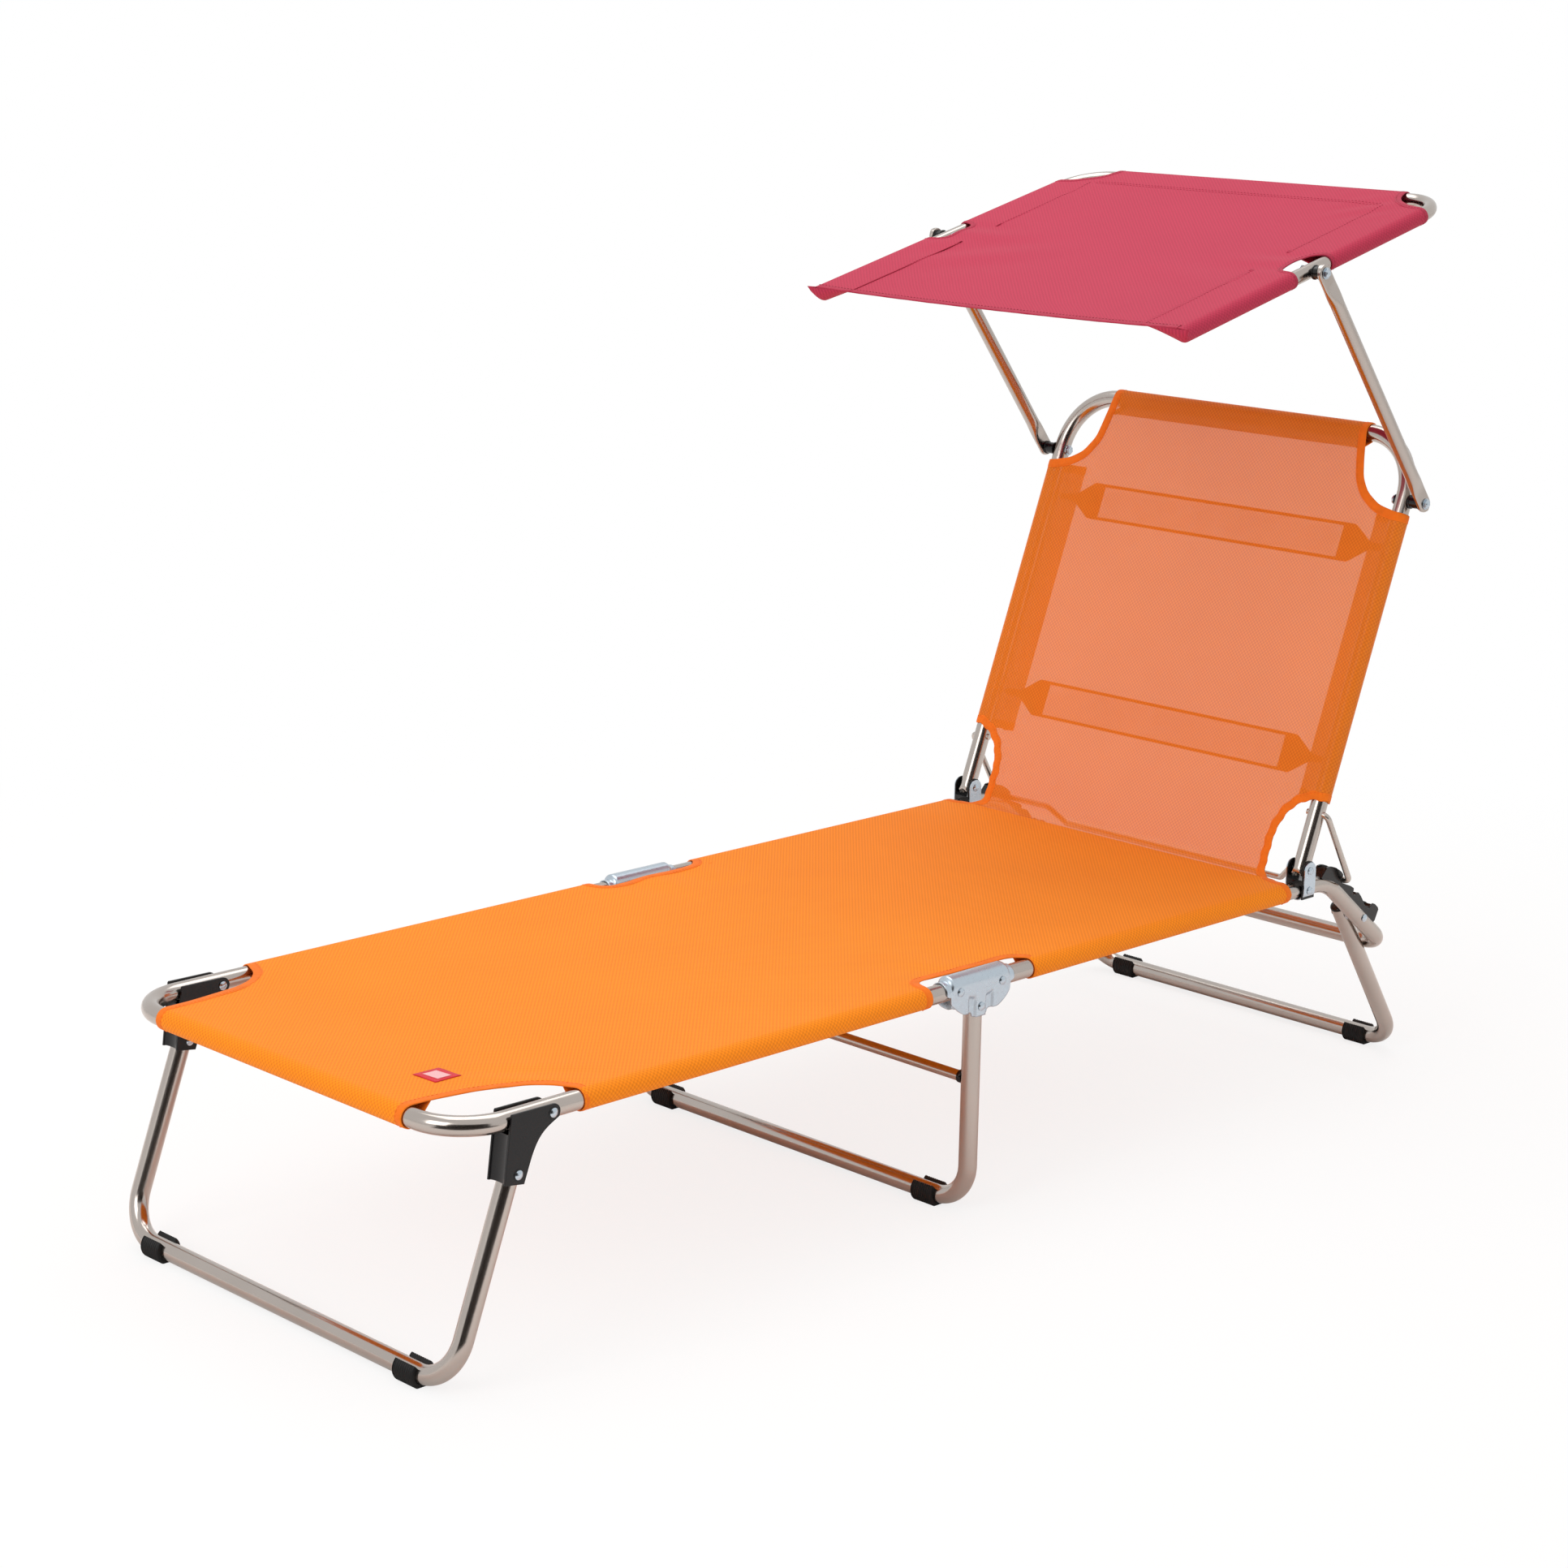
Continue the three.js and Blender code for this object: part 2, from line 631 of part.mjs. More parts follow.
// Steel strap that wraps under the rail and rises on both sides of the hinge
function backrestClevis() {
  const sole = railHeight - tubeRadius - fitGap;
  const bottom = sole - strapSheet;
  const outline = clevisOutline(strapHalfWidth, bottom);
  const left = prismX(outline, railHalf - strapOuter, railHalf - strapInner);
  const right = prismX(outline, railHalf + strapInner, railHalf + strapOuter);
  const ends = [backPivotY - strapHalfWidth, backPivotY + strapHalfWidth];
  const web = prismX([[ends[0], bottom], [ends[1], bottom], [ends[1], sole], [ends[0], sole]],
    railHalf - strapOuter, railHalf + strapOuter);
  return left.add(right).add(web)
    .subtract(drill(rivetHole, backPivotY, railHeight))
    .subtract(drill(rivetHole, backPivotY, backPivotHeight));
}

// Plastic liner inside the strap, with a saddle that sits on the rail
function clevisLiner() {
  const bottom = railHeight - tubeRadius;
  const inner = tubeRadius + fitGap;
  const outline = clevisOutline(linerHalfWidth, bottom);
  const left = prismX(outline, railHalf - linerOuter, railHalf - inner);
  const right = prismX(outline, railHalf + inner, railHalf + linerOuter);
  const top = backPivotHeight - tubeRadius - fitGap;
  const ends = [backPivotY - linerHalfWidth, backPivotY + linerHalfWidth];
  const saddle = prismX([[ends[0], top - saddleRise], [ends[1], top - saddleRise], [ends[1], top], [ends[0], top]],
    railHalf - linerOuter, railHalf + linerOuter);
  const rail = prismY(polygon(clearing(tubeRadius, tubeSides), tubeSides).map(([x, z]) => [railHalf + x, railHeight + z]),
    ends[0] - cutOverrun, ends[1] + cutOverrun);
  return left.add(right).add(saddle).subtract(rail)
    .subtract(drill(rivetHole, backPivotY, railHeight))
    .subtract(drill(rivetHole, backPivotY, backPivotHeight));
}

// Notched rack on the bend of the rail, seated over the tube
function ratchetRack() {
  const scaled = (shares) => shares.map(([a, b]) => [a * rackLength, b * rackHeight]);
  const notch = ([along, rise], openBefore, openAfter) => arc(along, rise, bailRodRadius + rackNotchGap,
    Math.PI + openBefore, 2 * Math.PI - openAfter, archSteps / 2);
  const outline = [
    ...scaled(rackHumpShares), ...notch(firstNotch, 0, rackNotchOpening),
    ...scaled(firstToothShares), ...notch(secondNotch, 0, 0),
    ...scaled(secondToothShares), ...notch(thirdNotch, rackNotchOpening, 0), ...scaled(rackEndShares),
  ];
  const block = prismX(outline.map(([along, rise]) => onSlant(along, rise)),
    railHalf - rackWidth / 2, railHalf + rackWidth / 2);
  const section = outlineOf(polygon(clearing(tubeRadius, tubeSides), tubeSides));
  const before = at(slantStartY - rackLength, railHeight).setX(railHalf);
  const rail = sweep(section, new BentPath([before, at(slantStartY, railHeight).setX(railHalf),
    at(...crossbar).setX(railHalf)], [railBendRadius]));
  return block.subtract(rail);
}

// Support bail in its own plane: Z runs back along its legs from the pivot
function supportBail() {
  const side = (x) => [
    at(0, 0).setX(x * (railHalf - bailInset)), at(0, 0).setX(x * bailLegX), at(0, -bailReach).setX(x * bailLegX),
    at(0, -bailReach).setX(x * bailInnerX), at(0, -bailReach - bailDropLength).setX(x * (bailInnerX - bailDropLength)),
  ];
  const radii = [bailCornerRadius, bailCornerRadius, bailCornerRadius, bailCornerRadius];
  const path = new BentPath([...side(-1), ...side(1).reverse()], [...radii, ...radii]);
  return sweep(outlineOf(polygon(bailRodRadius, boreSides)), path);
}

// Canopy tube in the canopy's own plane: Y runs to its rear bar
function canopyTube() {
  return tubeU(canopyHalf, at(-canopyFront, 0), at(canopyRearBar, 0), canopyCornerRadius, canopyRodRadius, canopyWall)
    .subtract(drill(boltHole, 0, 0));
}

// Canopy arm along Y: a round tube pressed flat at both ends and rounded about its bolts
function squashed(radius, flatHalf, sides) {
  const reach = armReach + armEyeRadius;
  const taperStart = armFlatLength + armTaperLength;
  const stations = [-armEyeRadius, armFlatLength, taperStart, armReach - taperStart, armReach - armFlatLength, reach];
  const path = new BentPath(stations.map((y) => at(y, 0)), stations.slice(2).map(() => 0));
  const geometry = new THREE.ExtrudeGeometry(outlineOf(polygon(radius, sides)),
    { steps: path.steps, extrudePath: path, bevelEnabled: false });
  const place = geometry.attributes.position;
  for (let i = 0; i < place.count; i += 1) {
    const y = place.getY(i);
    const round = y > taperStart - weldDistance && y < armReach - taperStart + weldDistance;
    if (!round) place.setX(i, place.getX(i) * flatHalf / radius);
    if (!round) place.setZ(i, place.getZ(i) * armEyeRadius / canopyRodRadius);
  }
  return solid(geometry.translate(armX, 0, 0));
}

function canopyArm() {
  const bore = canopyRodRadius - canopyWall;
  const eyes = [
    ...arc(0, 0, armEyeRadius, Math.PI, 2 * Math.PI, archSteps).map(([z, y]) => [y, z]),
    ...arc(0, 0, armEyeRadius, 0, Math.PI, archSteps).map(([z, y]) => [armReach + y, z]),
  ];
  return squashed(canopyRodRadius, armFlatHalf, tubeSides)
    .subtract(squashed(bore, armFlatHalf - canopyWall, boreSides))
    .intersect(prismX(eyes, armX - tubeRadius, armX + tubeRadius))
    .subtract(drill(boltHole, 0, 0))
    .subtract(drill(boltHole, armReach, 0));
}

function armBolt(innerFace, y) {
  const inner = innerFace - fitGap;
  const outer = armX + armFlatHalf + fitGap;
  return turnedX([
    [0, inner - boltHeadHeight], [boltHeadRadius, inner - boltHeadHeight], [boltHeadRadius, inner], [boltRadius, inner],
    [boltRadius, outer], [boltHeadRadius, outer], [boltHeadRadius, outer + boltHeadHeight], [0, outer + boltHeadHeight],
  ], y, 0, hexSides);
}

function armSpacer(tubeFace, y) {
  const inner = tubeFace + fitGap;
  const outer = armX - armFlatHalf - fitGap;
  return turnedX([[0, inner], [spacerRadius, inner], [spacerRadius, outer], [0, outer]], y, 0, tubeSides)
    .subtract(drill(boltHole, y, 0));
}

// A cloth sleeve round a straight tube, from pairs of X and Y for its two ends
function sleeve([fromX, fromY], [toX, toY], height, radius, carried) {
  const section = tubeSection(radius, clearing(carried, boreSides));
  const ends = [new THREE.Vector3(fromX, fromY, height), new THREE.Vector3(toX, toY, height)];
  return sweep(section, new BentPath(ends, []));
}

// Both side sleeves between two places along the tube
function sideSleeves(half, from, to, height, radius, carried) {
  return sleeve([-half, from], [-half, to], height, radius, carried)
    .add(sleeve([half, from], [half, to], height, radius, carried));
}

// A flat cloth sheet from the right half of its outline, lying on top of its tubes
function sheet(rightHalf, height, carried) {
  const leftHalf = rightHalf.map(([x, y]) => [-x, y]).reverse();
  const bottom = height + carried + fitGap;
  return prismZ([...rightHalf, ...leftHalf], bottom, bottom + clothThickness);
}

// Places on a curved edge between two corners, from shares of the way in X and in Y
function edgeBetween(shares, [fromX, fromY], [toX, toY]) {
  return shares.map(([a, b]) => [fromX + a * (toX - fromX), fromY + b * (toY - fromY)]);
}

function footPanel() {
  const outline = [
    [footSleeveHalf, 0], ...edgeBetween(footCutoutShares, [footSleeveHalf, sleeveRadius], [railHalf, railSleeveStart]),
    [railHalf, railSleeveEnd], [midCutoutX, railSleeveEnd + midCutoutLead], [midCutoutX, midLegY - foldSlit / 2],
  ];
  return sheet(outline, railHeight, tubeRadius)
    .add(sideSleeves(railHalf, railSleeveStart, railSleeveEnd, railHeight, sleeveRadius, tubeRadius))
    .add(sleeve([-footSleeveHalf, 0], [footSleeveHalf, 0], railHeight, sleeveRadius, tubeRadius));
}

function seatPanel() {
  const outline = [
    [midCutoutX, midLegY + foldSlit / 2], [midCutoutX, seatSleeveStart - midCutoutLead], [railHalf, seatSleeveStart],
    ...edgeBetween(seatCutoutShares, [panelEndX, seatSleeveEnd], [railHalf, seatPanelEnd]),
  ];
  return sheet(outline, railHeight, tubeRadius)
    .add(sideSleeves(railHalf, seatSleeveStart, seatSleeveEnd, railHeight, sleeveRadius, tubeRadius));
}

function backPanel() {
  const outline = [
    ...edgeBetween(lowCutoutShares, [panelEndX, backPanelStart], [railHalf, backSleeveStart]),
    ...edgeBetween(topCutoutShares, [topSleeveHalf, backSleeveEnd], [railHalf, backLength]),
  ];
  return sheet(outline, 0, tubeRadius)
    .add(sideSleeves(railHalf, backSleeveStart, backSleeveEnd, 0, sleeveRadius, tubeRadius))
    .add(sleeve([-topSleeveHalf, backLength], [topSleeveHalf, backLength], 0, sleeveRadius, tubeRadius));
}

// Tension band behind the backrest, narrowed to a strap at both ends
function tensionBand(along) {
  const end = railHalf - Math.sqrt(sleeveRadius ** 2 - bandDepth ** 2) - fitGap;
  const rightHalf = [
    [bandHalfLength, along - bandHalfHeight], [bandNeckStart, along - bandNeckHalf], [end, along - bandNeckHalf],
    [end, along + bandNeckHalf], [bandNeckStart, along + bandNeckHalf], [bandHalfLength, along + bandHalfHeight],
  ];
  const leftHalf = rightHalf.map(([x, y]) => [-x, y]).reverse();
  return prismZ([...rightHalf, ...leftHalf], -bandDepth - clothThickness, -bandDepth);
}

// Canopy cover: a flat sheet with side and rear sleeves, and pointed pockets on the front ends
function canopyCover() {
  const outline = [
    [0, -canopyTip + canopyFrontSag], [canopyHalf, -canopyTip],
    [canopyHalf, -canopyCutoutHalf], [canopyCutoutX, -canopyCutoutHalf + canopyFrontSag],
    [canopyCutoutX, canopyCutoutHalf - canopyFrontSag], [canopyHalf, canopyCutoutHalf],
    ...edgeBetween(canopyCornerShares, [canopyTopSleeveHalf, canopySleeveEnd], [canopyHalf, canopyRearBar]),
  ];
  const pocketWall = (x) => prismY(polygon(canopySleeveRadius, tubeSides).map(([a, b]) => [x + a, b]),
    -canopyTip, -canopyFront - fitGap);
  return sheet(outline, 0, canopyRodRadius)
    .add(sideSleeves(canopyHalf, -canopyFront - fitGap, -canopyCutoutHalf, 0, canopySleeveRadius, canopyRodRadius))
    .add(sideSleeves(canopyHalf, canopyCutoutHalf, canopySleeveEnd, 0, canopySleeveRadius, canopyRodRadius))
    .add(pocketWall(canopyHalf)).add(pocketWall(-canopyHalf))
    .add(sleeve([-canopyTopSleeveHalf, canopyRearBar], [canopyTopSleeveHalf, canopyRearBar], 0,
      canopySleeveRadius, canopyRodRadius));
}

function piece(name, geometry, finish) {
  const mesh = new THREE.Mesh(geometry, new THREE.MeshStandardMaterial(finishes[finish]));
  mesh.name = name;
  return mesh;
}

function one(group, name, body, finish) {
  group.add(piece(name, geometryOf(body), finish));
}

// A right-hand piece and its mirror image on the left
function pair(group, name, body, finish) {
  const geometry = geometryOf(body);
  group.add(piece(`${name}_right`, geometry, finish));
  group.add(piece(`${name}_left`, mirrored(geometry), finish));
}

// A group whose own plane is turned about X and placed at a point given as Y and Z
function planeGroup(parent, [y, z], turn) {
  const group = new THREE.Group();
  group.position.set(0, y, z);
  group.rotation.x = turn;
  parent.add(group);
  return group;
}

function addFootFrame(lounger) {
  one(lounger, 'foot_frame_tube', footFrameTube(), 'aluminium');
  one(lounger, 'foot_panel', footPanel(), 'orangeCloth');
}

function addFrontLeg(lounger) {
  const leg = planeGroup(lounger, frontLegAxis, -frontLegLean);
  one(leg, 'front_leg_tube', frontLegTube(), 'aluminium');
  pair(lounger, 'front_leg_bracket', frontLegBracket(), 'glossBlack');
  pair(lounger, 'front_leg_pivot_rivet', bracketRivet(frontPivotY, railHeight), 'zinc');
  pair(lounger, 'front_leg_fixing_rivet', bracketRivet(...frontRivetPlace), 'zinc');
  pair(lounger, 'front_foot', rubberFoot(frontFootX, frontFloorY), 'rubber');
}

function addMiddle(lounger) {
  pair(lounger, 'hinge_housing', hingeHousing(), 'zinc');
  pair(lounger, 'foot_hinge_rivet', housingRivet(footFoldY, railHeight), 'zinc');
  pair(lounger, 'seat_hinge_rivet', housingRivet(seatFoldY, railHeight), 'zinc');
  pair(lounger, 'mid_leg_rivet', housingRivet(midLegY, midLegRivetHeight), 'zinc');
  one(lounger, 'mid_leg_tube', midLegTube(), 'aluminium');
  one(lounger, 'mid_leg_brace', midLegBrace(), 'aluminium');
  pair(lounger, 'mid_foot', rubberFoot(midFootX, midLegY), 'rubber');
}

function addSeatFrame(lounger) {
  one(lounger, 'seat_frame_tube', seatFrameTube(), 'aluminium');
  one(lounger, 'seat_panel', seatPanel(), 'orangeCloth');
  pair(lounger, 'ratchet_rack', ratchetRack(), 'mattBlack');
  pair(lounger, 'backrest_clevis', backrestClevis(), 'zinc');
  pair(lounger, 'clevis_liner', clevisLiner(), 'mattBlack');
  pair(lounger, 'clevis_rail_rivet', clevisRivet(railHeight), 'zinc');
  pair(lounger, 'backrest_pivot_rivet', clevisRivet(backPivotHeight), 'zinc');
}

function addRearLeg(lounger) {
  const leg = planeGroup(lounger, rearPivot, rearLegLean);
  one(leg, 'rear_leg_tube', rearLegTube(), 'aluminium');
  pair(leg, 'rear_leg_cap', rearLegCap(), 'mattBlack');
  pair(lounger, 'rear_leg_rivet', rearLegRivet(), 'zinc');
  pair(lounger, 'rear_foot', rubberFoot(rearFootX, rearFloorY), 'rubber');
}

function addBackrest(lounger) {
  const back = planeGroup(lounger, [backPivotY, backPivotHeight], backLean);
  one(back, 'backrest_tube', backrestTube(), 'aluminium');
  one(back, 'back_panel', backPanel(), 'orangeCloth');
  one(back, 'upper_tension_band', tensionBand(upperBandAlong), 'darkOrangeCloth');
  one(back, 'lower_tension_band', tensionBand(lowerBandAlong), 'darkOrangeCloth');
  pair(back, 'lower_arm_bolt', armBolt(railHalf - tubeRadius, armBoltAlong), 'zinc');
  pair(back, 'lower_arm_spacer', armSpacer(railHalf + tubeRadius, armBoltAlong), 'mattBlack');
  const bail = planeGroup(lounger, bailPivot, bailLean);
  one(bail, 'support_bail', supportBail(), 'zinc');
}

function addCanopy(lounger) {
  const arms = planeGroup(lounger, armPivot, armLean);
  pair(arms, 'canopy_arm', canopyArm(), 'aluminium');
  pair(arms, 'upper_arm_bolt', armBolt(canopyHalf - canopyRodRadius, armReach), 'zinc');
  pair(arms, 'upper_arm_spacer', armSpacer(canopyHalf + canopyRodRadius, armReach), 'mattBlack');
  const canopy = planeGroup(lounger, canopyPivot, canopyTilt);
  one(canopy, 'canopy_tube', canopyTube(), 'aluminium');
  one(canopy, 'canopy_cover', canopyCover(), 'raspberryCloth');
}

const lounger = new THREE.Group();
const assembly = new THREE.Group();
assembly.position.set(0, -objectMiddleY, 0);
lounger.add(assembly);
addFootFrame(assembly);
addFrontLeg(assembly);
addMiddle(assembly);
addSeatFrame(assembly);
addRearLeg(assembly);
addBackrest(assembly);
addCanopy(assembly);

export default lounger;
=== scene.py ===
"""A folding sun lounger with a sunshade canopy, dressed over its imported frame."""
from functools import wraps
from itertools import product
from math import atan2, ceil, cos, hypot, pi, radians, sin, tan

import bmesh
import bpy
import numpy as np
from mathutils import Matrix, Vector


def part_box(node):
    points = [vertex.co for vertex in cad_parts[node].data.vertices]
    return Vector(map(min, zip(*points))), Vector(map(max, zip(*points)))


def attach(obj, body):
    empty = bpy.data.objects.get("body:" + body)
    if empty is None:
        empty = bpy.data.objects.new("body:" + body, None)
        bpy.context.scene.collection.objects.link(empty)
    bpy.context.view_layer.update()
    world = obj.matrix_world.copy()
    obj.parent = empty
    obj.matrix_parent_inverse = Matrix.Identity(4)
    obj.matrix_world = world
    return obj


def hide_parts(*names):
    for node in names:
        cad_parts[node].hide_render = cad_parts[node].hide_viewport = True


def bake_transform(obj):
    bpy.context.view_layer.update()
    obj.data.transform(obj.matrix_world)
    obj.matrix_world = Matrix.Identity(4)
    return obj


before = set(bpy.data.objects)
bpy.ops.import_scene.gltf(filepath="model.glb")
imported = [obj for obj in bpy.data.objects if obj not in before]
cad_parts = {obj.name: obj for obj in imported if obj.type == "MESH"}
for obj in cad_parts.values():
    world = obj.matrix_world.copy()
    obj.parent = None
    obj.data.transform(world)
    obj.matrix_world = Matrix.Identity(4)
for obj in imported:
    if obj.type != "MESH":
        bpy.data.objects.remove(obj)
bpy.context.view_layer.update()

bl_info = {
    "name": "Sun Lounger with Canopy",
    "version": (1, 0, 0),
    "blender": (4, 5, 0),
    "location": "View3D > Sidebar > Lounger",
    "description": "Builds the tubes, fittings and mesh cloth of a folding sun lounger",
    "category": "Add Mesh",
}

# Sizes in millimetres, with y measured from the foot bar's centre line
MM = 0.001
TUBE_R, TUBE_WALL = 11.0, 1.5
RAIL_X, RAIL_Z = 289.0, 284.0
MIDDLE_Y = -TUBE_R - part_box("foot_frame_tube")[0].y / MM
FOLD_Y, FOLD_OFFSET, FOLD_REACH = 766.0, 35.5, 7.4
FRONT_Y, FRONT_LEAN, FRONT_BACK, FRONT_RIVET_DOWN = 117.0, radians(20.15), 24.6, 68.7
SLANT, SLANT_Y, SLANT_LENGTH = radians(39.2), 1438.0, 175.6
BACK_Y, BACK_Z, BACK_LEAN, BACK_LENGTH = 1385.0, 310.0, radians(69), 572.0
FLOOR_BAR_Z, BRACE_Z, HEAD_GAP = 14.0, 168.0, 0.15
REAR_X, REAR_ALONG = 262.5, 98.0
CANOPY_X, CANOPY_R, CANOPY_TILT, CANOPY_FRONT, CANOPY_REAR = 297.0, 9.0, radians(14.3), 240.0, 288.0
ARM_X, ARM_REACH, ARM_LEAN, ARM_ALONG, ARM_FACE = 320.0, 386.3, radians(127.96), 490.0, 3.3
BAIL_ALONG, BAIL_R, BAIL_NOTCH = 73.6, 4.0, (24.5, 17)
BEND_STEP, WELD = radians(4.5), 1e-6
CLOTH_RISE, CANOPY_CLOTH_RISE, CLOTH_GAUGE, CREASE_R = 12.5, 10.3, 0.9, 18.0
FOOT_HALF, TOP_HALF, CANOPY_TOP_HALF = 217.0, 213.0, 237.0
SIDE_SEAM, BAR_SEAM, TOP_SEAM, CANOPY_SEAM, BACK_FLAP = 26.0, 26.0, 24.0, 58.0, 42.0
FOOT_SLEEVE, SEAT_SLEEVE, BACK_SLEEVE = (162.0, 685.0), (860.0, 1350.0), (90.0, 472.0)
CANOPY_TIP, CANOPY_ARM_GAP, CANOPY_CORNER = -252.0, 35.0, 234.0
FOLD_EDGE_X, RIM_ROW = 271.5, 0.25


def linear(code):
    """Linear colour of an sRGB hex code: below 0.04045 a straight line, above it a power of 2.4."""
    parts = np.array([int(code[k:k + 2], 16) for k in (1, 3, 5)]) / 255
    return tuple(np.where(parts <= 0.04045, parts / 12.92, ((parts + 0.055) / 1.055) ** 2.4))


def colour(name, part, code):
    return bpy.props.FloatVectorProperty(name=name, description=f"Colour of the {part}", subtype="COLOR",
                                         size=3, min=0, max=1, default=linear(code))


def number(name, description, value, **kind):
    return bpy.props.FloatProperty(name=name, description=description, default=value, min=0, **kind)


class LoungerMetal(bpy.types.PropertyGroup):
    tube: colour("Tube", "satin aluminium tubes", "#BDB4AD")
    blur: number("Tube roughness", "How much the tubes blur what they mirror", 0.15, max=1, subtype="FACTOR")
    zinc: colour("Zinc", "zinc-plated housings, straps and rivets", "#C2CED8")
    rod: colour("Rod", "steel support bail", "#C6BEB6")


class LoungerPlastic(bpy.types.PropertyGroup):
    gloss: colour("Bracket", "glossy leg brackets", "#0B0A0C")
    satin: colour("Rack", "satin racks, liners and spacers", "#0D0D0E")
    rubber: colour("Foot", "ribbed rubber feet", "#121212")


class LoungerCloth(bpy.types.PropertyGroup):
    bed: colour("Bed", "mesh cloth of the bed", "#FD840C")
    back: colour("Backrest", "backrest's sheer mesh", "#FF8222")
    binding: colour("Binding", "tapes and their threads", "#EC7210")
    band: colour("Tension bands", "bands behind the backrest", "#D2600F")
    canopy: colour("Canopy", "sunshade's cloth", "#B5304B")
    tag: colour("Tag", "plain sewn tag", "#D21F30")
    tag_field: colour("Tag field", "blank field in the tag", "#F0B4B4")
    cover: number("Cover", "How much light one face of the backrest's mesh stops", 0.68, max=1, subtype="FACTOR")
    sag: number("Sag", "How far the bed hangs between its rails", 5 * MM, unit="LENGTH", precision=4)
    pitch: number("Weave", "Spacing of the weave's dots", 5.4 * MM, unit="LENGTH", precision=4)


class LoungerStudio(bpy.types.PropertyGroup):
    sky: number("Sky", "Strength of the white room on the object", 0.86)
    mirrored: number("Mirrored", "Strength of the room in the metal", 0.85)
    lamp: number("Lamp", "Power of the soft lamp overhead", 40, subtype="POWER")
    fill: number("Fill", "Power of the soft lamp beside the camera", 34, subtype="POWER")
    floor: colour("Floor", "floor", "#F4F1EF")


def setting(kind):
    return getattr(bpy.context.scene, f"lounger_{kind}")


# Shapes as arrays ------------------------------------------------------------

def smooth(share):
    """A share held between 0 and 1 and eased at both: t t (3 - 2 t)."""
    t = np.clip(share, 0, 1)
    return t * t * (3 - 2 * t)


def rounding(share):
    """Height of a unit circle at a share of its radius: sqrt(1 - t^2), and none beyond it."""
    return np.sqrt(np.clip(1 - share ** 2, 0, 1))


def laid(*parts):
    return np.stack(np.broadcast_arrays(*parts), -1)


def unit(vectors):
    return vectors / np.linalg.norm(vectors, axis=-1, keepdims=True)


def runs(line):
    """Distance from a line's start to each of its points."""
    return np.concatenate(((0,), np.cumsum(np.linalg.norm(np.diff(line, axis=0), axis=1))))


def spaced(line, step):
    """The same line with points at equal steps of its length."""
    line = np.asarray(line, float)
    run = runs(line)
    at = np.linspace(0, run[-1], max(2, ceil(run[-1] / step) + 1))
    return laid(*(np.interp(at, run, axis) for axis in line.T))


def eased(line, step, passes):
    """Rounds a line's corners: equal steps, then each inner point becomes a quarter, half and
    quarter mean of itself and its neighbours, a number of times."""
    line = spaced(line, step)
    for _ in range(passes):
        line[1:-1] = (line[:-2] + 2 * line[1:-1] + line[2:]) / 4
    return line


def headings(line):
    return unit(np.gradient(line, axis=0))


def bent(corners, bends):
    """Straights joined by round bends. A bend starts r tan(turn/2) before its corner and runs
    start + r sin(a) behind + r (1 - cos(a)) inward. Gives points and tangents."""
    corners = np.asarray(corners, float)
    steps = unit(np.diff(corners, axis=0))
    points, tangents = [corners[:1]], [steps[:1]]
    for corner, behind, ahead, radius in zip(corners[1:-1], steps[:-1], steps[1:], bends):
        turn = np.arccos(np.clip(behind @ ahead, -1, 1))
        inward = unit(ahead - behind * (ahead @ behind))
        a = np.linspace(0, turn, ceil(turn / BEND_STEP) + 1)[:, None]
        start = corner - behind * radius * tan(turn / 2)
        points.append(start + radius * (np.sin(a) * behind + (1 - np.cos(a)) * inward))
        tangents.append(np.cos(a) * behind + np.sin(a) * inward)
    return np.vstack((*points, corners[-1:])), np.vstack((*tangents, steps[-1:]))


def stopped(points, tangents, step):
    """A path with one more station a step in from each end."""
    points = np.vstack((points[:1], points[:1] + tangents[:1] * step, points[1:-1],
                        points[-1:] - tangents[-1:] * step, points[-1:]))
    return points, np.vstack((tangents[:1], tangents, tangents[-1:]))


def carried(profile, points, tangents, side):
    """A profile at every station of a path. Its first number runs along side, which keeps only its
    part square to each tangent in turn, or along a side given for every station, and its second
    along tangent x side."""
    side = np.array(side, float)
    if side.ndim == 2:
        sides = unit(side - tangents * np.sum(side * tangents, axis=1, keepdims=True))
    else:
        sides = []
        for tangent in tangents:
            side = unit(side - tangent * (side @ tangent))
            sides.append(side)
        sides = np.array(sides)
    ups = np.cross(tangents, sides)
    return points[:, None] + profile[..., :1] * sides[:, None] + profile[..., 1:] * ups[:, None]


def ring(radius, count, power=2.0, high=None):
    """Superellipse: each of cos and sin raised to 2/power with its sign kept, times its half width."""
    angle = np.arange(count) * 2 * pi / count
    across, up = (np.sign(a) * np.abs(a) ** (2 / power) for a in (np.cos(angle), np.sin(angle)))
    return laid(radius * across, (radius if high is None else high) * up)


def grid_marks(rows, cols):
    return np.stack(np.meshgrid(rows, cols, indexing="ij"), -1)


def shell(points, marks, along=False, around=False):
    """Four-sided faces between neighbours of a grid of points, closed along or around if asked."""
    rows, cols = points.shape[:2]
    r, c = np.meshgrid(np.arange(rows - (not along)), np.arange(cols - (not around)), indexing="ij")
    r, c = r.ravel(), c.ravel()
    r2, c2 = (r + 1) % rows, (c + 1) % cols
    faces = np.stack((r * cols + c, r2 * cols + c, r2 * cols + c2, r * cols + c2), -1)
    corners = np.stack((marks[r, c], marks[r + 1, c], marks[r + 1, c + 1], marks[r, c + 1]), 1)
    return points.reshape(-1, 3), faces.tolist(), corners.reshape(-1, 2)


def lid(outline):
    """One flat face over an outline."""
    return outline, [list(range(len(outline)))], outline[:, 1:]


def capped(grid, marks):
    """Rings joined around and closed flat at both ends."""
    return [shell(grid, marks, around=True), lid(grid[0]), lid(grid[-1])]


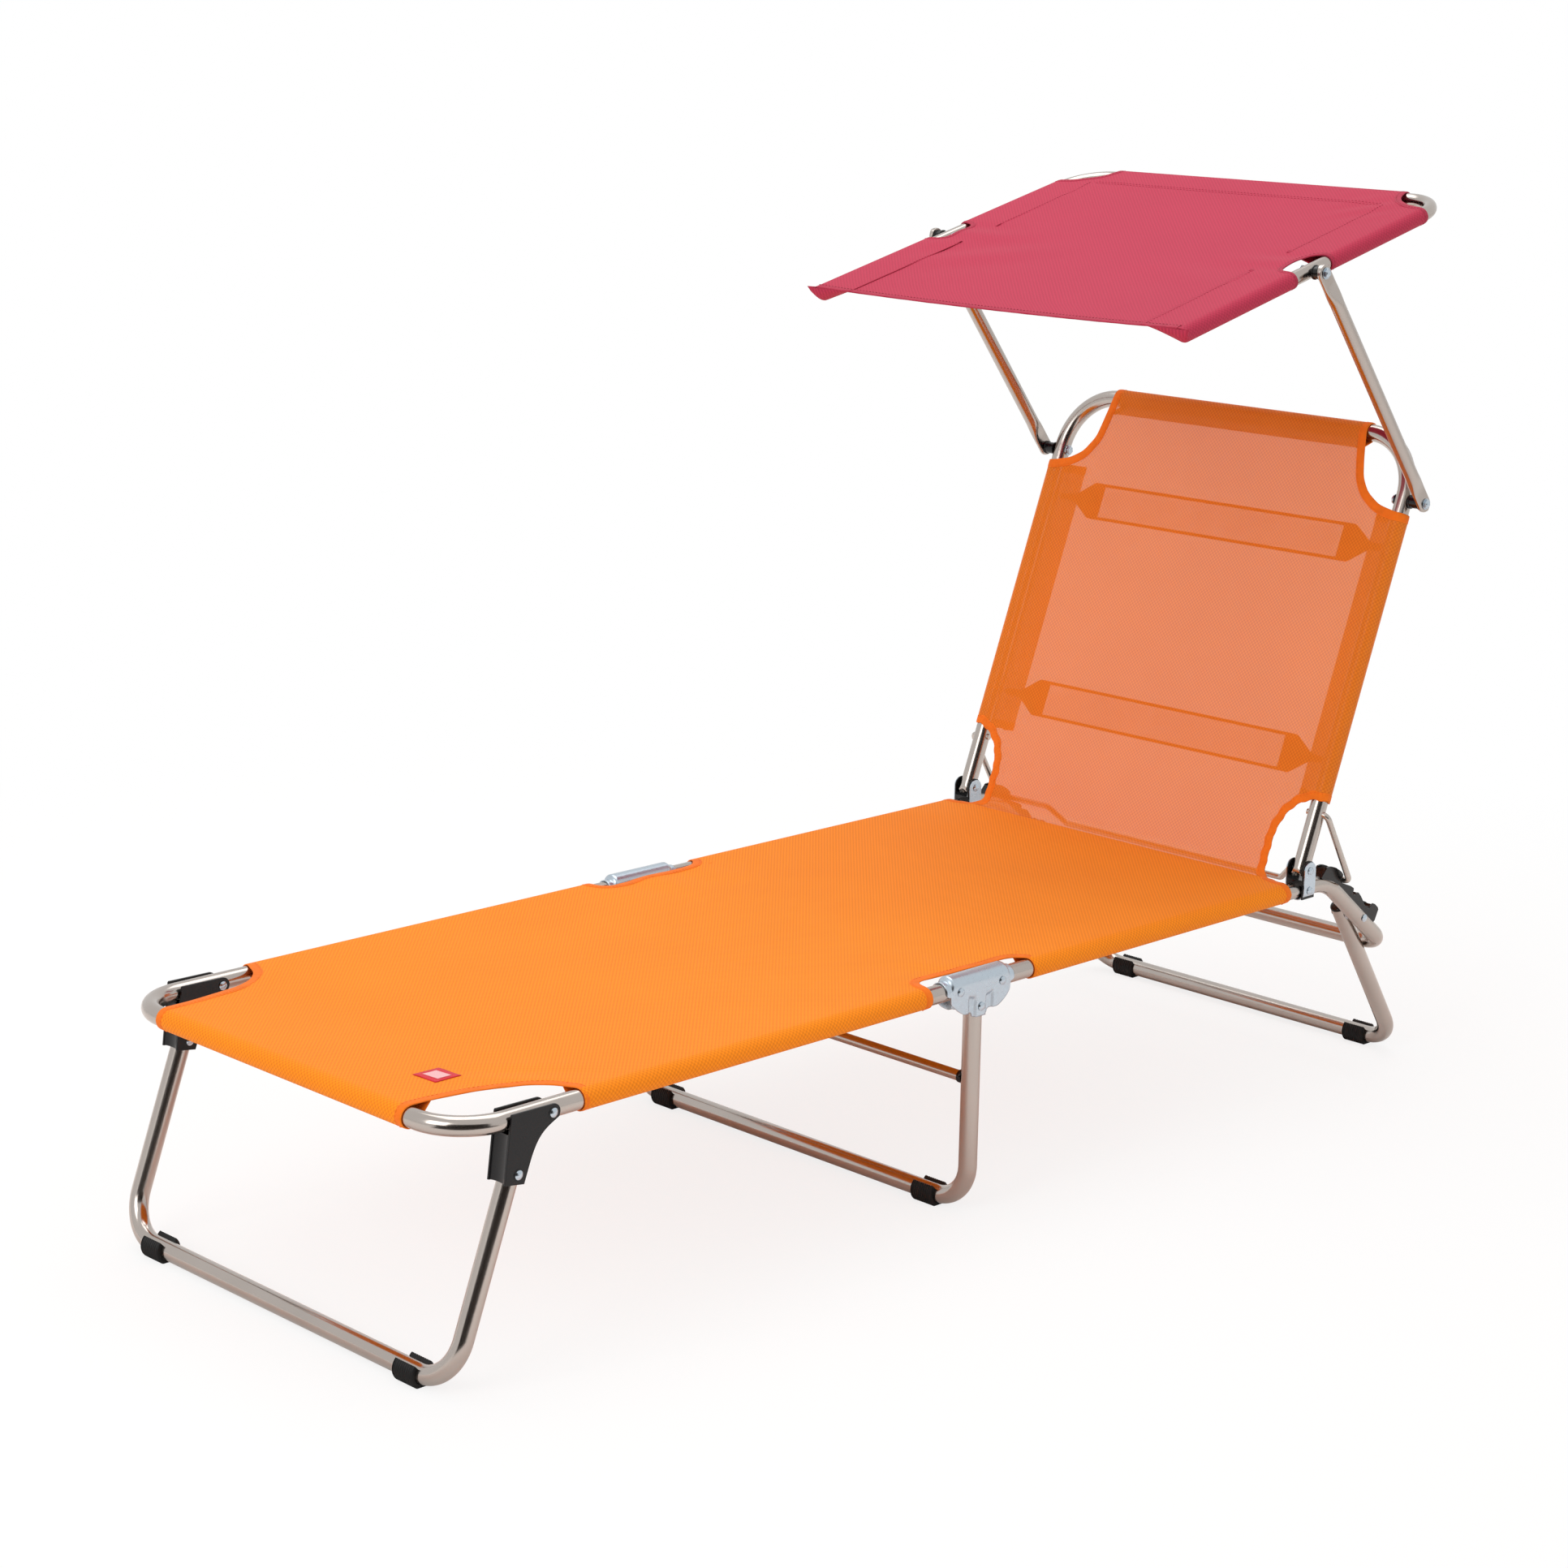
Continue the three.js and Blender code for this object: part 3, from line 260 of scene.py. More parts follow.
def joined(shells):
    starts = np.cumsum([0] + [len(s[0]) for s in shells])
    faces = [[k + start for k in face] for s, start in zip(shells, starts) for face in s[1]]
    return np.vstack([s[0] for s in shells]), faces, np.vstack([s[2] for s in shells])


def moved(shells, change):
    return [(change(points), faces, marks) for points, faces, marks in shells]


def other_side(shells):
    return [(points * (-1, 1, 1), [face[::-1] for face in faces],
             np.vstack([m[::-1] for m in np.split(marks, np.cumsum([len(f) for f in faces])[:-1])]))
            for points, faces, marks in shells]


def both_sides(right):
    """A path's right half, from its end to the middle, with its left half before it."""
    return [(-x, y, z) for x, y, z in right] + right[::-1]


def tilted(origin, lean):
    """Turns a piece about X by lean and puts its origin at (y, z)."""
    def change(points):
        x, y, z = np.moveaxis(points, -1, 0)
        return laid(x, origin[0] + y * cos(lean) - z * sin(lean), origin[1] + y * sin(lean) + z * cos(lean))
    return change


def ahead_of(origin, lean, reach):
    return origin[0] + reach * cos(lean), origin[1] + reach * sin(lean)


def on_slant(along, rise):
    return SLANT_Y + along * cos(SLANT) + rise * sin(SLANT), RAIL_Z - along * sin(SLANT) + rise * cos(SLANT)


ARM_PIVOT = ahead_of((BACK_Y, BACK_Z), BACK_LEAN, ARM_ALONG)
CANOPY_PIVOT = ahead_of(ARM_PIVOT, ARM_LEAN, ARM_REACH)
in_backrest = tilted((BACK_Y, BACK_Z), BACK_LEAN)
in_arms = tilted(ARM_PIVOT, ARM_LEAN)
in_canopy = tilted(CANOPY_PIVOT, CANOPY_TILT)


def tube(right, bend, radius=TUBE_R, wall=TUBE_WALL, side=(0, 0, 1), reach=0.0, count=40):
    """A round ring carried along a path with two like halves, outside and then back inside. An end
    that is cut round draws back by reach (1 - sqrt(1 - (h/r)^2)), h being the height off the
    pivot's line."""
    points, tangents = stopped(*bent(both_sides(right), bend + bend[::-1]), radius)
    grids = []
    for r in (radius, radius - wall):
        grid = carried(ring(r, count), points, tangents, side)
        for end, sign in ((0, 1), (-1, -1)):
            high = (grid[end] - points[end]) @ np.cross((1, 0, 0), tangents[end])
            grid[end] += sign * (reach * (1 - rounding(high / radius)))[:, None] * tangents[end]
        grids.append(grid)
    run = runs(points)
    marks = grid_marks(np.concatenate((run, run[::-1], run[:1])), np.linspace(0, 2 * pi * radius, count + 1))
    return [shell(np.vstack((grids[0], grids[1][::-1])), marks, along=True, around=True)]


def rod(points, tangents, radius, side, count, fillet=0.6):
    """A solid round bar along a path, its ends eased by a small fillet and closed flat."""
    points, tangents = stopped(points, tangents, fillet)
    grow = np.full(len(points), radius)
    grow[[0, -1]] -= fillet
    grid = carried(ring(1, count)[None] * grow[:, None, None], points, tangents, side)
    return capped(grid, grid_marks(runs(points), np.linspace(0, 2 * pi * radius, count + 1)))


def turned(profile, y, z, count=28):
    """Pairs of radius and place along X, turned about an axis along X."""
    profile = np.asarray(profile, float)
    angle = np.arange(count) * 2 * pi / count + pi / count
    r, x = profile[:, :1], profile[:, 1:]
    marks = grid_marks(runs(profile), np.linspace(0, 2 * pi * profile[:, 0].max(), count + 1))
    return [shell(laid(x, y + r * np.cos(angle), z + r * np.sin(angle)), marks, around=True)]


def dome(radius, height, base, facing, rim=0.5, steps=7):
    """Rim and arc of a domed head from its pole down to its base, as radius and place."""
    curve = ((height - rim) ** 2 + radius ** 2) / (2 * (height - rim))
    a = np.linspace(0, np.arcsin(min(1, radius / curve)), steps)
    arc = laid(curve * np.sin(a), base + facing * (height - curve * (1 - np.cos(a))))
    return np.vstack((arc, ((radius, base),)))


def slab(outline, low, high):
    """A plate along X from an outline of (y, z), with both faces closed."""
    outline = np.asarray(outline, float)
    loops = np.stack([np.column_stack((np.full(len(outline), x), outline)) for x in (low, high)])
    return capped(loops, grid_marks((0, high - low), runs(np.vstack((outline, outline[:1])))))


def arc2(a, b, radius, start, end, steps):
    angle = np.radians(np.linspace(start, end, steps + 1))
    return laid(a + radius * np.cos(angle), b + radius * np.sin(angle))


def wrapped(radius, last, end, step=2.2):
    """Cloth round a bar as (out, rise): an arc from straight above it round the far side to the
    angle last, then straight to its end."""
    angle = np.linspace(pi / 2, last, ceil((pi / 2 - last) * radius / step) + 1)
    arc = laid(np.cos(angle), np.sin(angle)) * radius
    return np.vstack((arc, spaced((arc[-1], end), 6)[1:]))


def hem_section(radius, reach, gap=1.1):
    """Leaves the bar along the tangent that meets a seam at (-reach, radius - gap) under the cloth."""
    seam = np.array((-reach, radius - gap))
    return wrapped(radius, atan2(seam[1], seam[0]) + np.arccos(radius / hypot(*seam)) - 2 * pi, seam)


def flap_section(radius, reach):
    """Leaves the bar straight below it, nearly level to a free edge at -reach."""
    return wrapped(radius, -pi / 2, (-reach, 1 - radius))


def flattened(section, seam, top):
    """A hem's section pressed flat: its length runs out along the top layer to a fold and back
    under it to the seam, fold = (length - seam) / 2."""
    run = runs(section)
    fold = (run[-1] - seam) / 2
    return laid(fold - np.abs(run - fold), np.where(run <= fold, top, top - 1.1))


def sheet_grid(edge, rise, columns=49):
    """Rows from edge to edge: x is the row's half width times an even share from -1 to 1, and
    the rise off the bars comes from x and the row's place. Gives points and marks."""
    x = edge[:, :1] * np.linspace(-1, 1, columns)
    place = np.broadcast_to(edge[:, 1:], x.shape)
    return laid(x, place, rise(x, place)), laid(x, place)


def bar_rows(edge, half):
    """Places of the rows whose edge lies on the side bar."""
    return edge[np.abs(edge[:, 0] - half) < 1e-6, 1][:, None]


def side_hem(edge, half, section):
    """The sleeves beside the rows whose edge lies on a bar, right and left."""
    place = bar_rows(edge, half)
    sleeve = [shell(side_ring(half, place, section), laid(half + runs(section), place))]
    return sleeve + other_side(sleeve)


def bar_hem(half, place, facing, section, columns=49):
    """The sleeve round the bar at one end of a sheet, facing along its places."""
    x = half * np.linspace(-1, 1, columns)
    grid = bar_ring(x, place, facing, section[:, None])
    return [shell(grid, laid(x, place + facing * runs(section)[:, None]))]


def binding(line, side, width=12.0, gauge=2.3, count=14, ripple=0.0):
    """A folded tape: a flat superellipse beside a cloth's edge, carried along it, with a slightly
    uneven thickness as sewn tape has, and pulled in and out by ripple every 20 mm."""
    run = runs(line)
    uneven = 1 + 0.08 * np.sin(run / 9) + 0.05 * np.sin(run / 3.7 + 1)
    shift = width / 2 - 0.4 + ripple * np.sin(run * 2 * pi / 20)
    profile = ring(width / 2, count, 3.2, gauge / 2)[None] * laid(1, uneven)[:, None] + laid(shift, 0)[:, None]
    across = np.linspace(0, 2 * width, count + 1)
    return capped(carried(profile, line, headings(line), side), grid_marks(run, across)[..., ::-1])


def beside(line, side, inward, lift):
    """A line carried beside a cloth's edge, inward from it and lifted off it."""
    return carried(np.array([[inward, lift]]), line, headings(line), side)[:, 0]


def stitches(line, long=3.4, gap=2.0, radius=0.42):
    """Threads along a line: each is a six-sided bead whose radius is a half-ellipse of its length."""
    middle = spaced(line, long + gap)
    ahead = headings(middle)
    aside = unit(np.cross(ahead, np.where(np.abs(ahead[:, 2:]) > 0.9, (0.0, 1, 0), (0.0, 0, 1))))
    ahead, aside, up = (axis[:, None, None] for axis in (ahead, aside, np.cross(aside, ahead)))
    t = np.array((-1, -0.72, 0, 0.72, 1.0))[:, None, None]
    angle = (np.arange(6) * pi / 3)[:, None]
    beads = middle[:, None, None] + ahead * (t * long / 2)
    beads = beads + radius * rounding(t) * (aside * np.cos(angle) + up * np.sin(angle))
    _, one, marks = shell(beads[0], grid_marks(t.ravel(), np.arange(7)), around=True)
    faces = (np.array(one) + beads[0, ..., 0].size * np.arange(len(middle))[:, None, None]).reshape(-1, 4)
    return [(beads.reshape(-1, 3), faces.tolist(), np.tile(marks, (len(middle), 1)))]


# Pieces ----------------------------------------------------------------------

def make(name, shells, finish, body=None, slot=None, nodes=(), sharp=38, wall=0.0, bevel=0.0, blend=None):
    """Puts shells into one mesh in the frame's metres, merges doubles, turns faces out, smooths
    it and marks sharp edges; then modifiers, the body that it moves with and what it replaces."""
    points, faces, marks = joined(shells)
    mesh = bpy.data.meshes.new(name)
    mesh.from_pydata(((points - (0, MIDDLE_Y, 0)) * MM).tolist(), [], faces)
    mesh.uv_layers.new(name="lay").uv.foreach_set("vector", (marks * MM).astype(np.float32).ravel())
    work = bmesh.new()
    work.from_mesh(mesh)
    bmesh.ops.remove_doubles(work, verts=work.verts, dist=WELD)
    bmesh.ops.recalc_face_normals(work, faces=work.faces)
    work.to_mesh(mesh)
    work.free()
    mesh.shade_smooth()
    mesh.set_sharp_from_angle(angle=radians(sharp))
    thing = placed(mesh, finish)
    if wall:
        sheet = thing.modifiers.new("wall", "SOLIDIFY")
        sheet.thickness, sheet.offset = wall * MM, 0
    if bevel:
        edge = thing.modifiers.new("edge", "BEVEL")
        edge.width, edge.segments, edge.harden_normals = bevel * MM, 3, True
        edge.limit_method, edge.angle_limit = "ANGLE", radians(32)
    if blend:
        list(blend)
        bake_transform(thing)
    else:
        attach(thing, body)
    if nodes:
        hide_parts(*nodes)
    return thing


def placed(mesh, finish):
    mesh.materials.append(finish)
    thing = bpy.data.objects.new(mesh.name, mesh)
    bpy.context.scene.collection.objects.link(thing)
    return thing


SIDES = (("right", list), ("left", other_side))


def make_pair(name, shells, finish, body, slot, node=None, **settings):
    """A piece on the right and its mirror image on the left."""
    for end, flip in SIDES:
        make(f"{name}_{end}", flip(shells), finish, body, slot, (f"{node}_{end}",) if node else (), **settings)


def make_tube(name, shells, body, node, lay=None):
    make(name, moved(shells, lay) if lay else shells, satin_aluminium(), body, "frame_tube", (node,))


# Finishes --------------------------------------------------------------------

def add(tree, kind, inputs=(), **settings):
    """Adds a node with its settings; an input takes a value or another node's output."""
    made = tree.nodes.new(kind)
    for name, value in settings.items():
        setattr(made, name, value)
    for socket, value in dict(inputs).items():
        if isinstance(value, bpy.types.NodeSocket):
            tree.links.new(value, made.inputs[socket])
        else:
            made.inputs[socket].default_value = value
    return made


def coords(tree, kind="Object"):
    return add(tree, "ShaderNodeTexCoord").outputs[kind]


def noise(tree, place, size_mm, detail):
    return add(tree, "ShaderNodeTexNoise", {0: place, 2: 1 / (size_mm * MM), 3: detail}).outputs[0]


def ranged(tree, value, low, high, start=0.0, end=1.0):
    return add(tree, "ShaderNodeMapRange", {0: value, 1: start, 2: end, 3: low, 4: high}).outputs[0]


def maths(tree, operation, *values):
    return add(tree, "ShaderNodeMath", dict(enumerate(values)), operation=operation).outputs[0]


def principled(name, value, **sockets):
    """A named material, its nodes, and its Principled shader holding the given constants."""
    made = bpy.data.materials.new(name)
    made.use_nodes = True
    skin = made.node_tree.nodes["Principled BSDF"]
    skin.inputs["Base Color"].default_value = (*value, 1)
    for socket, constant in sockets.items():
        skin.inputs[socket].default_value = constant
    return made, made.node_tree, skin


def tinted(tree, skin, value, dark, light, fac):
    """Base colour between a darker and a lighter shade of one colour, by a 0 to 1 pattern."""
    low, high = (tuple(min(1, c * k) for c in value) + (1,) for k in (dark, light))
    mix = add(tree, "ShaderNodeMix", {0: fac, 6: low, 7: high}, data_type="RGBA")
    tree.links.new(mix.outputs[2], skin.inputs["Base Color"])


def roughened(tree, skin, pattern, low, high):
    tree.links.new(ranged(tree, pattern, low, high), skin.inputs["Roughness"])


def embossed(tree, skin, height, strength, depth):
    bump = add(tree, "ShaderNodeBump", {"Strength": strength, "Distance": depth, "Height": height})
    tree.links.new(bump.outputs[0], skin.inputs["Normal"])


def once(surface):
    """Makes a finish the first time its name is asked for, and finds it by its name after that."""
    @wraps(surface)
    def found(name, *values, **named):
        return bpy.data.materials.get(name) or surface(name, *values, **named)
    return found


@once
def drawn_metal(name, value, roughness):
    """Drawn satin tube: a mirror blurred by faint lines along its length, drawn about 1 mm apart
    because the real ones are too fine to show, with faint handling marks."""
    made, tree, skin = principled(name, value, Metallic=1.0, Roughness=roughness)
    drawn = add(tree, "ShaderNodeMapping", {0: coords(tree, "UV"), 3: (1 / (160 * MM), 1 / (0.9 * MM), 1)})
    lines = noise(tree, drawn.outputs[0], 1000, 2.0)
    marks = noise(tree, coords(tree), 70, 3.0)
    roughened(tree, skin, maths(tree, "MULTIPLY_ADD", lines, marks, 0.2), roughness - 0.04, roughness + 0.12)
    tinted(tree, skin, value, 0.9, 1.04, marks)
    embossed(tree, skin, lines, 0.05, 0.0002)
    return made


@once
def plated_steel(name, value, roughness=0.27):
    """Bright zinc plating: bluish mirror blurred in soft patches of about 5 mm."""
    made, tree, skin = principled(name, value, Metallic=1.0, Roughness=roughness)
    patches = noise(tree, coords(tree), 5, 2.0)
    tinted(tree, skin, value, 0.93, 1.04, patches)
    roughened(tree, skin, patches, roughness - 0.04, roughness + 0.08)
    embossed(tree, skin, patches, 0.03, 0.0003)
    return made


@once
def moulded(name, value, roughness, grain_mm, depth_mm, coat=0.0):
    """Moulded black plastic or rubber: even colour, broken by the grain of its mould."""
    made, tree, skin = principled(name, value, Roughness=roughness,
                                  **{"Coat Weight": coat, "Coat Roughness": 0.12, "Specular IOR Level": 0.3})
    place = coords(tree)
    grain = noise(tree, place, grain_mm, 2.0)
    tinted(tree, skin, value, 0.75, 1.5, noise(tree, place, 30, 3.0))
    roughened(tree, skin, grain, roughness - 0.06, roughness + 0.08)
    embossed(tree, skin, grain, 0.35, depth_mm * MM)
    return made


@once
def woven(name, value, pitch, cover=1.0, dark=0.72, light=1.24, roughness=0.75):
    """Coated mesh cloth: cos u times cos v over the cloth's own lay gives rows of raised dots; their
    colour follows that relief, with a painted highlight on the dots and painted shade in the gaps
    between them. The true threads are a third as far apart, too fine to show. Soft fading of about
    120 mm lies over it, and the coating gives a faint sheen."""
    made, tree, skin = principled(name, value, Roughness=roughness, Alpha=cover,
                                  **{"Sheen Weight": 0.04, "Sheen Roughness": 0.5, "IOR": 1.46,
                                     "Specular IOR Level": 0.2})
    lay = add(tree, "ShaderNodeSeparateXYZ", {0: coords(tree, "UV")})
    waves = [maths(tree, "COSINE", maths(tree, "MULTIPLY", axis, 2 * pi / pitch)) for axis in lay.outputs[:2]]
    raised = ranged(tree, maths(tree, "MULTIPLY", *waves), 0.0, 1.0, start=-1.0)
    soft = ranged(tree, noise(tree, coords(tree), 120, 3.0), 0.0, 0.1, 0.3, 0.7)
    # the colour follows the weave's relief: painted highlight on the raised dots, painted shade in the gaps
    tinted(tree, skin, value, dark, light, maths(tree, "MULTIPLY_ADD", raised, 0.9, soft))
    embossed(tree, skin, raised, 0.6, 0.0003)
    return made


@once
def tape_cloth(name, value, rib_mm=2.6):
    """Folded binding tape, or with close ribs a sewing thread: ribs across its length, drawn 2.6 mm
    apart so that they show, with faint puckers between the stitches."""
    made, tree, skin = principled(name, value, Roughness=0.78,
                                  **{"Sheen Weight": 0.05, "IOR": 1.46, "Specular IOR Level": 0.25})
    ribs = add(tree, "ShaderNodeTexWave", {0: coords(tree, "UV"), 1: 1 / (rib_mm * MM) / 6.3, 2: 0.6, 3: 1.0},
               wave_type="BANDS", bands_direction="Y").outputs[1]
    pucker = noise(tree, coords(tree), 12, 2.0)
    tinted(tree, skin, value, 0.82, 1.12, pucker)
    embossed(tree, skin, maths(tree, "MULTIPLY_ADD", ribs, 0.35, pucker), 0.5, 0.0006)
    return made


def satin_aluminium():
    return drawn_metal("drawn_satin_aluminium", setting("metal").tube, setting("metal").blur)


def zinc():
    return plated_steel("bright_zinc_plated_steel", setting("metal").zinc)


def satin_black():
    return moulded("satin_black_polypropylene", setting("plastic").satin, 0.24, 0.9, 0.03, 0.2)


def trimmings(name, tape_value, thread_value):
    """A cloth's binding tape, and a thread a shade off it with a twist too fine to draw."""
    return tape_cloth(f"{name}_binding_tape", tape_value), tape_cloth(f"{name}_thread", thread_value, 1.2)


# The cloth's own shapes --------------------------------------------------------

FOOT_CUT = ((0, 0), (0.03, 0.18), (0.1, 0.4), (0.2, 0.62), (0.36, 0.8), (0.62, 0.93), (1, 1))
BACK_TOP_CUT = ((1, 0), (0.64, 0.06), (0.35, 0.2), (0.17, 0.4), (0.08, 0.68), (0, 1))
CANOPY_CUT = ((1, 0), (0.62, 0.1), (0.32, 0.32), (0.1, 0.62), (0, 1))


def between(cut, start, end):
    return np.asarray(start, float) + np.asarray(cut, float) * (np.asarray(end, float) - start)


def crease():
    """The backrest's cloth plane: unit vectors up it and out of it, and where the round crease
    between the bed's cloth and it starts, as y, and ends, as a place up the plane."""
    up = np.array((cos(BACK_LEAN), sin(BACK_LEAN)))
    out = np.array((-sin(BACK_LEAN), cos(BACK_LEAN)))
    base = np.array((BACK_Y, BACK_Z)) + CLOTH_RISE * out
    along = (RAIL_Z + CLOTH_RISE - base[1]) / up[1]
    reach = CREASE_R * tan(BACK_LEAN / 2)
    return up, out, base[0] + along * up[0] - reach, along + reach


BACK_UP, BACK_OUT, CREASE_Y, CREASE_END = crease()


def on_back(points):
    """Cloth points (x, place, rise) of the backrest: below the crease's end the place runs
    round an arc of CREASE_R that starts level with the bed."""
    x, place, rise = np.moveaxis(points, -1, 0)
    turn = np.clip(BACK_LEAN + (place - CREASE_END) / CREASE_R, 0, BACK_LEAN)
    radius = CREASE_R - rise + CLOTH_RISE
    round_y = CREASE_Y + radius * np.sin(turn)
    round_z = RAIL_Z + CLOTH_RISE + CREASE_R - radius * np.cos(turn)
    flat_y = BACK_Y + place * BACK_UP[0] + rise * BACK_OUT[0]
    flat_z = BACK_Z + place * BACK_UP[1] + rise * BACK_OUT[1]
    low = place < CREASE_END
    return laid(x, np.where(low, round_y, flat_y), np.where(low, round_z, flat_z))


def on_bed(points):
    return points + (0, 0, RAIL_Z)


def ripples(x, place, rows):
    """Shallow folds that run out from the cut-out corners. Each is a wave of a |x| + b place,
    inside a bump exp(-(dx/wide)^2 - (dplace/long)^2) about its corner."""
    away = np.abs(x)
    return sum(high * np.exp(-((away - x0) / wide) ** 2 - ((place - p0) / long) ** 2)
               * np.sin((a * away + b * place) / wave + phase) for x0, p0, wide, long, a, b, wave, phase, high in rows)


BED_RIPPLES = ((235, 120, 60, 90, 1, -1, 11, 0, 0.7), (255, 766, 55, 90, 0, 1, 14, pi / 2 - 766 / 14, 0.8),
               (230, 1310, 50, 70, 1, 1, 12, 0, 0.6))
BACK_RIPPLES = ((235, 90, 45, 60, 1, 1, 10, 0, 0.7), (225, 480, 45, 50, 1, -1, 9, 0, 0.7))
CANOPY_RIPPLES = ((265, 0, 60, 45, 0, 1, 9, pi / 2, 1.1), (190, -60, 90, 70, 0.6, 1, 17, 0, 1.3),
                  (225, 215, 45, 45, 1, -1, 10, 0, 0.9))


def hung(x, place, ends, rows):
    """Cloth height over its bars: it hangs as a parabola across, which fades at its ends."""
    ends = smooth(ends)
    hang = setting("cloth").sag / MM * ends * (1 - (x / RAIL_X) ** 2)
    return CLOTH_RISE - hang + ripples(x, place, rows) * ends * np.clip((RAIL_X - np.abs(x)) / 30, 0, 1)


def fading(place, start, run_in, end, run_out):
    """1 along a cloth, falling evenly to 0 over a run at either end."""
    return np.clip((place - start) / run_in, 0, 1) * np.clip((end - place) / run_out, 0, 1)


def bed_rise(x, place):
    return hung(x, place, fading(place, 0, 160, 1354, 160), BED_RIPPLES)


def back_rise(x, place):
    return hung(x, place, fading(place, 8, 150, BACK_LENGTH, 90), BACK_RIPPLES)


def canopy_rise(x, place):
    """The sunshade is taut on three sides and hangs a little in the middle and at its front."""
    deep, run_out = 7, 80
    along = np.clip((place - CANOPY_TIP) / (CANOPY_REAR - CANOPY_TIP), 0, 1)
    hang = deep * (1 - (x / CANOPY_X) ** 2) * (1 - along ** 2) * np.clip((CANOPY_REAR - place) / run_out, 0, 1)
    return CANOPY_CLOTH_RISE - hang + ripples(x, place, CANOPY_RIPPLES) * np.clip((CANOPY_X - np.abs(x)) / 25, 0, 1)


def bar_side(half, ends, step=8):
    return spaced(((half, ends[0]), (half, ends[1])), step)


def foot_edge():
    """Parts of the foot sheet's right edge; a close last row keeps the rim's shading off the cloth."""
    cut = eased(np.vstack(((FOOT_HALF, 0), between(FOOT_CUT, (FOOT_HALF, 14), (RAIL_X, FOOT_SLEEVE[0])))), 3, 6)
    fold = eased(((RAIL_X, FOOT_SLEEVE[1]), (274, 689), (267, 699), (268, 728), (FOLD_EDGE_X, 752),
                  (FOLD_EDGE_X, FOLD_Y)), 3, 5)
    return cut, bar_side(RAIL_X, FOOT_SLEEVE), np.insert(fold, -1, (FOLD_EDGE_X, FOLD_Y - RIM_ROW), axis=0)


def seat_edge():
    fold = eased(((FOLD_EDGE_X, FOLD_Y), (FOLD_EDGE_X, 838), (276, 850), (RAIL_X, SEAT_SLEEVE[0])), 3, 5)
    lead = spaced(((RAIL_X, SEAT_SLEEVE[1]), (277, 1351.6), (265.5, CREASE_Y)), 3)
    return np.insert(fold, 1, (FOLD_EDGE_X, FOLD_Y + RIM_ROW), axis=0), bar_side(RAIL_X, SEAT_SLEEVE), lead


def back_edge():
    start = CREASE_END - CREASE_R * BACK_LEAN
    low = eased(((265.5, start), (257, start + 3), (247.5, start + 9.5), (243.4, start + 17), (243, start + 26),
                 (243, 39), (252, 64.5), (268, 81.5), (RAIL_X, BACK_SLEEVE[0])), 3, 4)
    top = eased(between(BACK_TOP_CUT, (TOP_HALF, BACK_SLEEVE[1]), (RAIL_X, BACK_LENGTH)), 3, 4)
    return low, bar_side(RAIL_X, BACK_SLEEVE), top


def canopy_edge():
    gap = CANOPY_ARM_GAP
    arm = eased(((CANOPY_X, -gap), (280, -31), (276, -20), (276, 20), (280, 31), (CANOPY_X, gap)), 3, 3)
    top = eased(between(CANOPY_CUT, (CANOPY_TOP_HALF, CANOPY_CORNER), (CANOPY_X, CANOPY_REAR)), 3, 4)
    return bar_side(CANOPY_X, (CANOPY_TIP, -gap), 7), arm, bar_side(CANOPY_X, (gap, CANOPY_CORNER), 7), top


def whole(parts):
    """One edge from its parts, each place once, and never running back."""
    line = np.vstack([parts[0]] + [part[1:] for part in parts[1:]])
    line[:, 1] = np.maximum.accumulate(line[:, 1] + np.arange(len(line)) * 1e-7)
    return line


def edge_path(edge, rise):
    """An edge of (half width, place) as cloth points."""
    return np.column_stack((edge, rise(edge[:, 0], edge[:, 1])))


def side_ring(half, place, section):
    """Points round a side bar at one place, from above it to its seam."""
    return laid(half + section[:, 0], place, section[:, 1])


def bar_ring(x, place, facing, section):
    """Points round an end bar at one x, from above it to its seam."""
    return laid(x, place + facing * section[..., 0], section[..., 1])


def hemmed(before, edge, rise, after):
    """A binding's line: up from one sleeve's seam, along an edge, and down to the next one's seam."""
    return np.vstack((before[:0:-1], edge_path(edge, rise), after[1:]))


def sewn(name, line, side, lay, trims, slot, width=12.0, ripple=0.0, **ride):
    """A binding along a right-hand edge and its stitches, and the same on the left."""
    line, rough = eased(lay(line), 3.0, 2), lay(line)
    if np.ndim(side) == 2:
        at = runs(line) / runs(line)[-1] * runs(rough)[-1]
        side = laid(*(np.interp(at, runs(rough), axis) for axis in unit(lay(side) - rough).T))
    shells = binding(line, side, width, ripple=ripple), stitches(beside(line, side, width - 3, 1.15))
    made = [make(f"{name}{part}_{end}", flip(piece), finish, slot=slot, **ride)
            for (end, flip), (part, piece, finish) in product(SIDES, zip(("", "_thread"), shells, trims))]
    return made[::2]


def row_point(y, z):
    """A design place (y, z) on the middle plane, in the frame's metres."""
    return (0, (y - MIDDLE_Y) * MM, z * MM)


FOLD_FOOT = ("foot_frame", "mid_frame", row_point(715, 297), row_point(745, 297))
FOLD_SEAT = ("mid_frame", "seat_frame", row_point(786, 297), row_point(817, 297))
CREASE = ("seat_frame", "backrest", row_point(1352, 297), row_point(1384.2, 342.4))


# Operators -------------------------------------------------------------------

